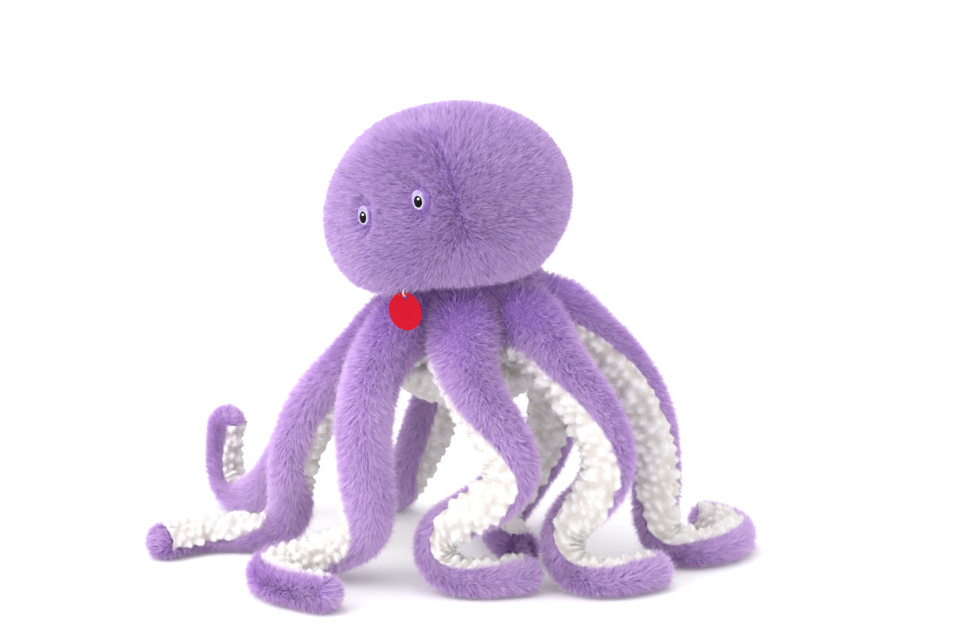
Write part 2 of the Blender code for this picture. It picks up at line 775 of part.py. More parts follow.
# Tag under the chin
def build_tag(neck, frame, tree):
    into_frame = frame.matrix_world.inverted()
    upward = into_frame.to_3x3() @ Vector((0.0, 0.0, 1.0))
    reach = loop_radius + loop_wire_radius
    tops = []
    for k in range(9):
        lean = math.pi * k / 8.0
        start = into_frame @ Vector((tag_aside, reach * math.cos(lean) - chin_forward, 0.0))
        chin, _, _, _ = tree.ray_cast(start, upward)
        tops.append((frame.matrix_world @ chin).z - reach * math.sin(lean))
    loop_middle = Vector((tag_aside, -chin_forward, min(tops) - trim_gap))
    hole = loop_middle - Vector((0.0, 0.0, loop_radius))

    bpy.ops.mesh.primitive_torus_add(
        major_segments=16, minor_segments=6,
        major_radius=loop_radius, minor_radius=loop_wire_radius,
    )
    loop = bpy.context.object
    loop.name = "tag_loop"
    for collection in list(loop.users_collection):
        collection.objects.unlink(loop)
    toy.objects.link(loop)
    loop.data.materials.append(make_material("tag_loop", clear_white, 0.35))
    shade(loop.data)
    loop.parent = neck
    loop.rotation_euler = Euler((0.0, math.radians(90.0), 0.0))
    loop.location = loop_middle - neck.location

    pivot = add_pivot("tag_pivot", hole - neck.location, parent=neck)
    bpy.ops.mesh.primitive_cylinder_add(
        vertices=28, radius=tag_radius, depth=tag_thickness, end_fill_type="NGON",
    )
    tag = bpy.context.object
    tag.name = "tag"
    for collection in list(tag.users_collection):
        collection.objects.unlink(tag)
    toy.objects.link(tag)
    tag.data.materials.append(make_material("tag", red, 0.4))
    tag.rotation_euler = Euler((math.radians(90.0), 0.0, 0.0))
    slack = tag_hole_radius - loop_wire_radius - hang_gap
    tag.location = (0.0, 0.0, tag_hole_edge + tag_hole_radius - tag_radius - slack)
    tag.parent = pivot
    shape = bmesh.new()
    bmesh.ops.create_cone(
        shape, cap_ends=True, segments=12, radius1=tag_hole_radius, radius2=tag_hole_radius,
        depth=2.0 * tag_radius, matrix=Matrix.Rotation(math.radians(90.0), 4, "X"),
    )
    mesh = bpy.data.meshes.new("tag_hole")
    shape.to_mesh(mesh)
    shape.free()
    punch = add_cutter("tag_hole", mesh, pivot)
    punch.location.z = -slack
    cut(tag, punch)


build_body()
block = floor_cutter()
for index, route in enumerate(arm_route_shares):
    build_arm(index + 1, route, block)
head_pivot, head_frame, face_tree = build_head()
build_tag(head_pivot, head_frame, face_tree)

# The whole toy moves so that the origin is under the middle of its spread
for collection in (toy, cutters):
    for thing in collection.objects:
        if thing.parent is None:
            thing.location += Vector((centre_aside, centre_back, 0.0))
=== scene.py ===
import math

import bpy
import numpy as np
from mathutils import Euler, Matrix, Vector


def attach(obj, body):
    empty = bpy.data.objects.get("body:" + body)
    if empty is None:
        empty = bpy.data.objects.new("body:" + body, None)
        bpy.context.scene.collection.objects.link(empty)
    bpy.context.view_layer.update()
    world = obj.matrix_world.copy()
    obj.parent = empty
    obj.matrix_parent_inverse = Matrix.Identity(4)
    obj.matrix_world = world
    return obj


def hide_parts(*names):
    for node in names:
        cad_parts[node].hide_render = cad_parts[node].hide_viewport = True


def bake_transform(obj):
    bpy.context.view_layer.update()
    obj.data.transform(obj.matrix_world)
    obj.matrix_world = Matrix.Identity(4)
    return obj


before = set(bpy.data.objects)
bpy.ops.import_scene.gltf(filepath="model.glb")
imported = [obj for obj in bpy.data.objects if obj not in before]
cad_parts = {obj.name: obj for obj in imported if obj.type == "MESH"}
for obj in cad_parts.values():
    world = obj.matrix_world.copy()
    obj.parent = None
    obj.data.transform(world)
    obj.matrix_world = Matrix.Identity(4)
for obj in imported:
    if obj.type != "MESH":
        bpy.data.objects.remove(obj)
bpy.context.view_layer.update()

rng = np.random.default_rng(7)

# The toy's own axis is here, a little off the middle of its spread
axisPlace = np.array([0.0402, 0.0165, 0.0])
floorClear = 0.0004           # nothing of the pile goes lower than this
pileMap = "OFBake"            # tone across, root to tip upwards

upwards = np.array([0.0, 0.0, 1.0])
level = np.array([1.0, 1.0, 0.0])

# The photograph's view, which the camera takes at the end
photoSize = [960, 640]
view = {
    "azimuth": 30.0,
    "elevation": 14.0,
    "distance": 2.4,
    "lens": 94.74,
    "sensor": 36.0,
    "shiftRight": 0.0076,
    "height": 0.236,
}
viewTurn, viewLift = math.radians(view["azimuth"]), math.radians(view["elevation"])
viewRight = np.array([math.cos(viewTurn), math.sin(viewTurn), 0.0])
viewForward = np.array([math.sin(viewTurn), -math.cos(viewTurn), 0.0])
viewBack = viewForward * math.cos(viewLift) + upwards * math.sin(viewLift)
viewTarget = axisPlace + viewRight * view["shiftRight"] + upwards * view["height"]
cameraPlace = viewTarget + viewBack * view["distance"]


def linear(hexColour):
    value = hexColour.lstrip("#")
    parts = [int(value[k:k + 2], 16) / 255.0 for k in (0, 2, 4)]
    return [c / 12.92 if c <= 0.04045 else ((c + 0.055) / 1.055) ** 2.4 for c in parts] + [1.0]


def addNode(material, kind, values=None, links=None, **settings):
    node = material.node_tree.nodes.new(kind)
    for key, value in settings.items():
        setattr(node, key, value)
    for key, value in (values or {}).items():
        node.inputs[key].default_value = value
    for key, (other, output) in (links or {}).items():
        material.node_tree.links.new(other.outputs[output], node.inputs[key])
    return node


def newMaterial(name, **values):
    material = bpy.data.materials.new(name)
    material.use_nodes = True
    shader = material.node_tree.nodes["Principled BSDF"]
    for key, value in values.items():
        shader.inputs[key.replace("_", " ")].default_value = value
    return material, shader


def setStops(ramp, stops):
    elements = ramp.color_ramp.elements
    while len(elements) < len(stops):
        elements.new(0.5)
    for element, (place, colour) in zip(elements, stops):
        element.position = place
        element.color = linear(colour)


def join(material, fromNode, output, toNode, socket):
    material.node_tree.links.new(fromNode.outputs[output], toNode.inputs[socket])


def mapRamp(material, axis, stops):
    # Colours along one axis of the pile's map: 0 is across it, 1 is up
    place = addNode(material, "ShaderNodeUVMap", uv_map=pileMap)
    split = addNode(material, "ShaderNodeSeparateXYZ", links={0: (place, 0)})
    ramp = addNode(material, "ShaderNodeValToRGB", links={0: (split, axis)})
    setStops(ramp, stops)
    return ramp


pile = {
    # The roots' colour is painted shade down in the pile, and the tips' colour is painted light
    "shadedRootColour": "#d0a5f0",
    "middleColour": "#ebc6fd",
    "litTipColour": "#f8e2ff",
    "darkTone": "#8b7ba6",
    "middleTone": "#ebe2f7",
    "paleTone": "#ffffff",
    "sheen": 0.15,
}


def pileMaterial(name, look):
    # Knitted polyester pile, dyed: the roots are painted deeper and duller, as painted shade down in the
    # pile, the free tips are painted paler, as painted light, and catch a soft sheen, and no two tufts
    # have quite one tone
    material, shader = newMaterial(
        name, Roughness=0.72, Specular_IOR_Level=0.25, Sheen_Weight=look["sheen"], Sheen_Roughness=0.45,
    )
    # From painted shade at the roots to painted light at the tips
    along = mapRamp(material, 1, [
        (0.0, look["shadedRootColour"]), (0.38, look["middleColour"]), (0.82, look["litTipColour"]),
    ])
    tone = mapRamp(material, 0, [
        (0.0, look["darkTone"]), (0.5, look["middleTone"]), (0.95, look["paleTone"]),
    ])
    mixed = addNode(
        material, "ShaderNodeMix", {0: 1.0}, {6: (along, 0), 7: (tone, 0)},
        data_type="RGBA", blend_type="MULTIPLY",
    )
    join(material, mixed, 2, shader, "Base Color")
    return material


fleece = {
    # The hollows' colour is painted shade between the bobbles, and the tops are painted a little lighter
    "hollowShadeColour": "#e2d8cf",
    "flankColour": "#f6f4f2",
    "topColour": "#fbfaf9",
    "bump": 0.0070,           # height of a bobble
    "cell": 0.0112,           # from one bobble to the next in a row
    "rowShare": 0.87,         # the rows lie closer than that
    "widthShare": 0.41,
    "kinds": 64,              # the bobbles' random shifts and sizes repeat after this many
    "shift": 0.27,            # farthest that a bobble stands from its place, in cells
    "sizes": [0.75, 1.10],
    "most": 1.15,             # highest that bobbles rise together, in bobbles
    "tones": [0.10, 0.72],    # place of the hollows' colour on the map, and rise to the tops'
    "fuzzLength": 0.0026,
    "fuzzLengths": [0.5, 1.3],
    "fuzzTones": [0.55, 0.95],
}


def fleeceMaterial(name, look):
    # Knitted bobble fleece, undyed white: brushed fibre ends scatter the light, so
    # the bobbles are matt; the hollows between them are painted a warmer grey as painted shade, and the
    # tops a little paler
    material, shader = newMaterial(
        name, Roughness=0.9, Specular_IOR_Level=0.2, Sheen_Weight=0.25, Sheen_Roughness=0.6,
    )
    tone = mapRamp(material, 0, [
        (0.0, look["hollowShadeColour"]), (0.55, look["flankColour"]), (1.0, look["topColour"]),
    ])
    join(material, tone, 0, shader, "Base Color")
    return material


def grainedMaterial(name, lowColour, highColour, grainSize, **values):
    # Two near colours in a fine uneven grain, whose size is in metres
    material, shader = newMaterial(name, **values)
    place = addNode(material, "ShaderNodeTexCoord")
    grain = addNode(
        material, "ShaderNodeTexNoise", {"Scale": 1.0 / grainSize, "Detail": 3.0},
        {"Vector": (place, "Object")},
    )
    tone = addNode(material, "ShaderNodeValToRGB", links={0: (grain, 0)})
    setStops(tone, [(0.35, lowColour), (0.65, highColour)])
    join(material, tone, 0, shader, "Base Color")
    return material


def layPiece(name, material, parts):
    # A part is points, faces of one corner count, and a map place for every corner
    points = np.concatenate([part[0] for part in parts])
    offsets = np.cumsum([0] + [len(part[0]) for part in parts])
    corners = np.concatenate([(part[1] + start).ravel() for part, start in zip(parts, offsets)])
    sizes = np.concatenate([np.full(len(part[1]), part[1].shape[1]) for part in parts])
    places = np.concatenate([part[2].reshape(-1, 2) for part in parts])
    mesh = bpy.data.meshes.new(name)
    mesh.vertices.add(len(points))
    mesh.vertices.foreach_set("co", points.astype(np.float32).ravel())
    mesh.loops.add(len(corners))
    mesh.loops.foreach_set("vertex_index", corners.astype(np.int32))
    mesh.polygons.add(len(sizes))
    starts = np.concatenate([[0], np.cumsum(sizes)[:-1]])
    mesh.polygons.foreach_set("loop_start", starts.astype(np.int32))
    mesh.update(calc_edges=True)
    mesh.validate()
    layer = mesh.uv_layers.new(name=pileMap)
    layer.uv.foreach_set("vector", places.astype(np.float32).ravel())
    mesh.materials.append(material)
    mesh.polygons.foreach_set("use_smooth", np.ones(len(sizes), bool))
    piece = bpy.data.objects.new(name, mesh)
    bpy.context.scene.collection.objects.link(piece)
    return piece


mapPatch = [0.003, 0.010]     # half sizes of a face's place on the map, across and up


def gridPart(points, tones, height, closed):
    # Quads over a grid of points, rows by columns, whose faces keep to one height of the map
    rows, columns = points.shape[:2]
    across = columns if closed else columns - 1
    r, c = np.meshgrid(np.arange(rows - 1), np.arange(across), indexing="ij")
    right = (c + 1) % columns
    quads = np.stack([
        r * columns + c, r * columns + right, (r + 1) * columns + right, (r + 1) * columns + c,
    ], -1).reshape(-1, 4)
    flat = np.broadcast_to(tones, (rows, columns)).reshape(-1)
    places = np.empty((len(quads), 4, 2))
    places[:, :, 0] = flat[quads] + mapPatch[0] * np.array([-1.0, 1.0, 1.0, -1.0])
    places[:, :, 1] = height + mapPatch[1] * np.array([-1.0, -1.0, 1.0, 1.0])
    return points.reshape(-1, 3), quads, places


def unit(vectors):
    return vectors / np.maximum(np.linalg.norm(vectors, axis=-1, keepdims=True), 1e-9)


def dots(ones, others):
    return np.sum(ones * others, axis=-1, keepdims=True)


def squareTo(ways, vectors):
    # The vectors turned square to unit ways, which are normals or tangents
    return unit(vectors - ways * dots(vectors, ways))


def distancesAlong(points):
    # Distance from the start of a line to each of its points
    steps = np.linalg.norm(np.diff(points, axis=0), axis=1)
    return np.concatenate([[0.0], np.cumsum(steps)])


def smooth(values, low, high):
    share = np.clip((values - low) / (high - low), 0.0, 1.0)
    return share * share * (3.0 - 2.0 * share)


tuftBlur = 0.16               # a strand strays over its tuft's edge by this share of it
cellPrimes = np.array([73856093, 19349663, 83492791])    # one number for each cell of a grid


def tuftsOf(roots, cell):
    # Number of the tuft that each root belongs to, and how many tufts there are
    spots = np.floor((roots + rng.normal(0.0, tuftBlur * cell, roots.shape)) / cell)
    _, tuft = np.unique(spots.astype(np.int64) @ cellPrimes, return_inverse=True)
    return tuft, tuft.max() + 1


# Some strands are longer and nearer upright, which softens the outline
strays = {"from": 0.92, "lean": 0.45, "length": 1.40}
leanLimits = [-1.2, 1.35]
swingMore = 1.6               # strands part sideways this much more than they lean unevenly
twist = 0.45                  # unevenness of the way that a strand's flat side looks
halfWidths = [0.35, 0.65]     # shares of the style's width
toneLimits = [0.03, 0.97]


def strandPart(roots, normals, combs, lengths, tones, style):
    # Each strand is one long thin triangle. It leans along its comb, more for a longer comb,
    # and strands of a tuft lean alike
    count = len(roots)
    tuft, tufts = tuftsOf(roots, style["tuft"])

    def uneven():
        ofTuft = style["tuftSway"] * rng.normal(0.0, 1.0, tufts)[tuft]
        return ofTuft + style["sway"] * rng.normal(0.0, 1.0, count)

    much = np.linalg.norm(combs, axis=1)
    combs = unit(combs)
    sideways = np.cross(normals, combs)
    lean = np.clip(np.radians(style["lean"]) * much + uneven(), *leanLimits)
    stray = rng.uniform(0.0, 1.0, count) > strays["from"]
    lean = np.where(stray, strays["lean"] * lean, lean)[:, None]
    lengths = lengths * np.where(stray, strays["length"], 1.0)
    swing = swingMore * uneven()
    heading = unit(np.cos(lean) * normals + np.sin(lean) * unit(combs + swing[:, None] * sideways))
    tips = roots + heading * lengths[:, None]
    size = np.bincount(tuft, minlength=tufts)
    middle = np.stack([np.bincount(tuft, tips[:, k], tufts) / size for k in range(3)], 1)
    tips = tips + (middle[tuft] - tips) * style["pull"]
    across = unit(np.cross(heading, normals + twist * rng.normal(0.0, 1.0, (count, 3))))
    across *= style["width"] * rng.uniform(*halfWidths, (count, 1))
    points = np.stack([roots - across, roots + across, tips], 1)
    points[:, :, 2] = np.maximum(points[:, :, 2], floorClear)
    tris = np.arange(count)[:, None] * 3 + np.array([0, 1, 2])
    tones = np.clip(tones + style["tuftTone"] * rng.normal(0.0, 1.0, tufts)[tuft], *toneLimits)
    # Each strand runs up the map from its root to its tip, so on the pile it goes from the painted shade
    # of the roots to the painted light of the tips
    low, high, aside = np.zeros(count), np.ones(count), mapPatch[0]
    places = np.stack([tones - aside, low, tones + aside, low, tones, high], 1)
    return points.reshape(-1, 3), tris, places


kinds = fleece["kinds"]
bobbleJitter = rng.uniform(-fleece["shift"], fleece["shift"], (kinds, kinds, 2))
bobbleSize = rng.uniform(*fleece["sizes"], (kinds, kinds))


def bobbles(x, y):
    # Height, 0 to about 1, of a field of uneven soft bobbles at distances x and y
    cell = fleece["cell"]
    rowHeight = cell * fleece["rowShare"]
    row = np.floor(y / rowHeight).astype(int)
    total = np.zeros(x.shape)
    for down in (-1, 0, 1):
        shift = 0.5 * ((row + down) % 2)
        column = np.floor(x / cell - shift).astype(int)
        for side in (-1, 0, 1):
            kind = (row + down) % kinds, (column + side) % kinds
            jitter, size = bobbleJitter[kind], bobbleSize[kind]
            middleX = (column + side + 0.5 + shift + jitter[..., 0]) * cell
            middleY = (row + down + 0.5 + jitter[..., 1]) * rowHeight
            away = np.hypot(x - middleX, y - middleY) / (cell * fleece["widthShare"] * size)
            total = total + size * np.exp(-away ** 2)
    return np.clip(total, 0.0, fleece["most"])


def fleeceTones(bump):
    # Map places across the fleece's colours, from its hollows in painted shade to its tops
    lowest, rise = fleece["tones"]
    return lowest + rise * bump


# Body

body = {
    "rootCircle": 0.050,      # where the arms are sewn on, from the toy's axis
    "rootHeight": 0.236,
    "seatRadius": 0.0245,     # rounded side that an arm grows from
    "shoulderHeight": 0.0530,  # top of the body over the arms' middles, up in the head's crease
    "skinDepth": 0.0022,
    "furLength": 0.0112,
    "strands": 60000,
    # The body's pile is painted paler than the head's, as painted light against the head's shade over it
    "tone": 0.80,             # how pale the pile is, 0 to 1
    "lengths": [0.8, 1.1],
    "comb": [0.90, -0.35],    # the nap runs outwards and down
    "columns": 72,
    # Degrees round an arm's seat, from level outwards, between which the pile's and the
    # belly's outlines follow it, and how many points they have there
    "topLeans": [112.0, -30.0, 30],
    "underLeans": [-27.0, -108.0, 16],
    "topMiddle": 0.010,       # the outline starts this far from the axis
    "bellyDrop": 0.0720,      # lowest point of the belly under the arms' middles
    "bellyShift": [-0.0070, -0.0030, 0.0],    # the filling hangs a little to one side
    "bellyDepth": 0.0020,     # the fleece's hollows lie this far under the belly's outline
    "bellyRows": 90,
    "bellyColumns": 220,
    "bellyFuzz": 16000,
    "bobbleOffset": 0.5,      # keeps all distances on the bobbles' field above zero
}
# Belly's outline under the arms' seats: shares of rootCircle outward and bellyDrop down
bellyShares = [(1.20, 0.42), (1.36, 0.56), (1.34, 0.74), (1.10, 0.90), (0.62, 0.98), (0.0, 1.0)]


def bodyOutline(fromTop):
    # Distance from the axis and height, from the top's middle or from under the arms inwards
    circle, height, seat = body["rootCircle"], body["rootHeight"], body["seatRadius"]
    if fromTop:
        leans = np.radians(np.linspace(*body["topLeans"]))
        shoulder = np.where(leans > 0.0, body["shoulderHeight"], seat)
        dome = np.stack([circle + seat * np.cos(leans), height + shoulder * np.sin(leans)], 1)
        middle = np.linspace([body["topMiddle"], height + body["shoulderHeight"]], dome[0], 5)
        return np.concatenate([middle[:-1], dome])
    leans = np.radians(np.linspace(*body["underLeans"]))
    rim = np.stack([circle + seat * np.cos(leans), height + seat * np.sin(leans)], 1)
    under = np.array([(a * circle, height - d * body["bellyDrop"]) for a, d in bellyShares])
    return np.concatenate([rim, under])


def turnedGrid(outline, inset, columns):
    # Points and outward normals of an outline turned about the toy's axis
    run = unit(np.gradient(outline, axis=0))
    outward = np.stack([-run[:, 1], run[:, 0]], 1)
    outline = outline - outward * inset
    around = np.linspace(0.0, 2.0 * math.pi, columns, endpoint=False)
    spin = np.stack([np.sin(around), -np.cos(around)], 1)

    def turned(across, up):
        return np.concatenate([across[:, None] * spin[None], np.repeat(up[:, None], columns, 1)], 2)

    points = turned(np.maximum(outline[:, :1], 0.0), outline[:, 1:])
    return points + axisPlace, turned(outward[:, :1], outward[:, 1:])


def scatterOnGrid(points, normals, count):
    # Random places, evenly by area, on a grid of quads, with their normals
    a, b, d = points[:-1, :-1], points[1:, :-1], points[:-1, 1:]
    area = np.linalg.norm(np.cross(b - a, d - a), axis=2)
    pick = rng.choice(area.size, count, p=(area / area.sum()).ravel())
    r, c = np.unravel_index(pick, area.shape)
    u, v = rng.uniform(0.0, 1.0, (2, count, 1))

    def between(grid):
        top = grid[r, c] * (1 - v) + grid[r, c + 1] * v
        return top * (1 - u) + (grid[r + 1, c] * (1 - v) + grid[r + 1, c + 1] * v) * u

    return between(points), unit(between(normals))


def closeRound(grid):
    # The first column comes once more at the end
    return np.concatenate([grid, grid[:, :1]], 1)


# Lean in degrees from upright, sways in radians, widths of a strand and a tuft in metres,
# and how far a tuft draws its tips together and differs in tone from the next
pileStyle = {
    "lean": 46.0, "sway": 0.18, "tuftSway": 0.18, "width": 0.00056,
    "tuft": 0.0015, "pull": 0.32, "tuftTone": 0.13,
}
headStyle = dict(pileStyle, lean=35.0)
fuzzStyle = {
    "lean": 12.0, "sway": 0.45, "tuftSway": 0.0, "width": 0.00042,
    "tuft": 0.0100, "pull": 0.0, "tuftTone": 0.05,
}
toneSpread = 0.20
fleeceHeight = 0.5            # height of the fleece's faces on the map
purplePile = pileMaterial("purple_polyester_pile", pile)
whiteFleece = fleeceMaterial("white_bobble_fleece", fleece)


def fuzzOver(points, normals, count):
    # Short brushed fibre ends that stand off the fleece
    roots, normals = scatterOnGrid(points, normals, count)
    combs = unit(np.cross(normals, rng.normal(0.0, 1.0, normals.shape)))
    lengths = fleece["fuzzLength"] * rng.uniform(*fleece["fuzzLengths"], len(roots))
    tones = rng.uniform(*fleece["fuzzTones"], len(roots))
    return strandPart(roots, normals, combs, lengths, tones, fuzzStyle)


# The backing sits near the roots' colour, in their painted shade
skinPlace = [0.40, 0.10]      # tone and height on the map, near the strands' roots


def skinPart(points):
    # Backing that the strands grow from, in the painted shade of their roots
    return gridPart(points, *skinPlace, True)


def buildBody():
    points, normals = turnedGrid(bodyOutline(True), body["skinDepth"], body["columns"])
    skin = skinPart(points)
    roots, normals = scatterOnGrid(closeRound(points), closeRound(normals), body["strands"])
    out, up = body["comb"]
    combs = squareTo(normals, unit((roots - axisPlace) * level) * out + upwards * up)
    lengths = body["furLength"] * rng.uniform(*body["lengths"], len(roots))
    tones = rng.normal(body["tone"], toneSpread, len(roots))
    strands = strandPart(roots, normals, combs, lengths, tones, pileStyle)
    bodyPile = layPiece("body_pile", purplePile, [skin, strands])
    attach(bodyPile, "body")
    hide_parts("body_fur", "body_filling")


def buildBelly():
    outline = bodyOutline(False)
    fine = np.linspace(0, len(outline) - 1, body["bellyRows"])
    outline = np.stack([np.interp(fine, np.arange(len(outline)), outline[:, k]) for k in (0, 1)], 1)
    points, normals = turnedGrid(outline, body["bellyDepth"], body["bellyColumns"])
    hang = np.clip((body["rootHeight"] - points[..., 2:]) / body["bellyDrop"], 0.0, 1.0)
    points = points + hang * np.array(body["bellyShift"])

    # The bobbles lie as on a flat round cloth, by their distance from its middle
    distances = distancesAlong(outline)
    fromMiddle = (distances[-1] - distances)[:, None]
    spin = np.linspace(0.0, 2.0 * math.pi, body["bellyColumns"], endpoint=False)
    offset = body["bobbleOffset"]
    bump = bobbles(fromMiddle * np.sin(spin) + offset, fromMiddle * np.cos(spin) + offset)
    points = points + normals * (bump * fleece["bump"])[..., None]
    panel = gridPart(points, fleeceTones(bump), fleeceHeight, True)
    fuzz = fuzzOver(closeRound(points), closeRound(normals), body["bellyFuzz"])
    bellyFleece = layPiece("belly_fleece", whiteFleece, [panel, fuzz])
    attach(bellyFleece, "body")
    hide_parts("belly_underside")


buildBody()
buildBelly()


# Arms

arms = {
    "reach": 0.250,           # length that the rows' outward and sideways shares are of
    "middleRadii": [0.0215, 0.0240, 0.0240, 0.0190, 0.0168, 0.0168],
    "middlePlaces": [0.0, 0.12, 0.42, 0.62, 0.78, 1.0],
    "flatDepth": 0.0005,
    "samples": 301,           # points of the finished middle line
    "radii": [0.0305, 0.0295, 0.0265, 0.0247, 0.0235, 0.0190, 0.0168, 0.0168],
    "radiusPlaces": [0.0, 0.06, 0.14, 0.24, 0.42, 0.62, 0.78, 1.0],
    # Fullness on top of each arm's root, and where along the arm it is and how far it spreads
    "shoulders": [0.016, 0.016, 0.010, 0.008, 0.008, 0.008, 0.008, 0.010],
    "shoulderPlace": 0.012,
    "shoulderSpread": 0.034,
    "skinDepth": 0.0040,      # the pile's backing lies this far under the arm's surface
    "intoBody": 0.016,        # the tube runs on this far behind its seam
    "skinRings": [150, 8],    # along the tube and over the tip
    "skinColumns": 36,
    "furLength": 0.0106,
    "lengths": [0.78, 1.12],
    "strands": 82000,         # on each arm
    # The arms' pile is painted paler than the head's, as painted light against the head's shade over
    # them
    "tone": 0.80,
    # The nap waves sideways: how much and over what distance along the arm, then how much
    # and over what distance round and along it. It also parts along the arm's back
    "longWave": [0.35, 0.021],
    "roundWave": [0.30, 0.034],
    "wavePhase": 1.7,         # from one arm's waves to the next's
    "backParting": 0.5,
    # Half of the white underside in degrees round the arm, at root and tip, and the
    # shares of the arm's length between which it widens
    "windowAngle": [62.0, 74.0],
    "windowPlaces": [0.35, 0.60],
    "windowRadius": 0.021,    # arm's radius that the bobbles' spacing round it is laid out for
    "tuck": 1.06,             # the fleece runs on under the pile by this share of the window
    "edge": 0.12,             # and sinks over this share
    "edgeSink": 0.0036,
    "fleeceLift": 0.0010,
    "fleeceRings": 380,
    "fleeceColumns": 50,
    "fleeceTip": 0.003,       # the strip runs on this far past the middle line's end
    "bobbleOffset": 0.3,      # keeps all distances on the bobbles' field above zero
    "bobbleShift": 0.1,       # and each arm has its own stretch of it
    "fuzz": 18000,
    "bendLength": 0.045,      # the root bends over this length when the arm turns
}

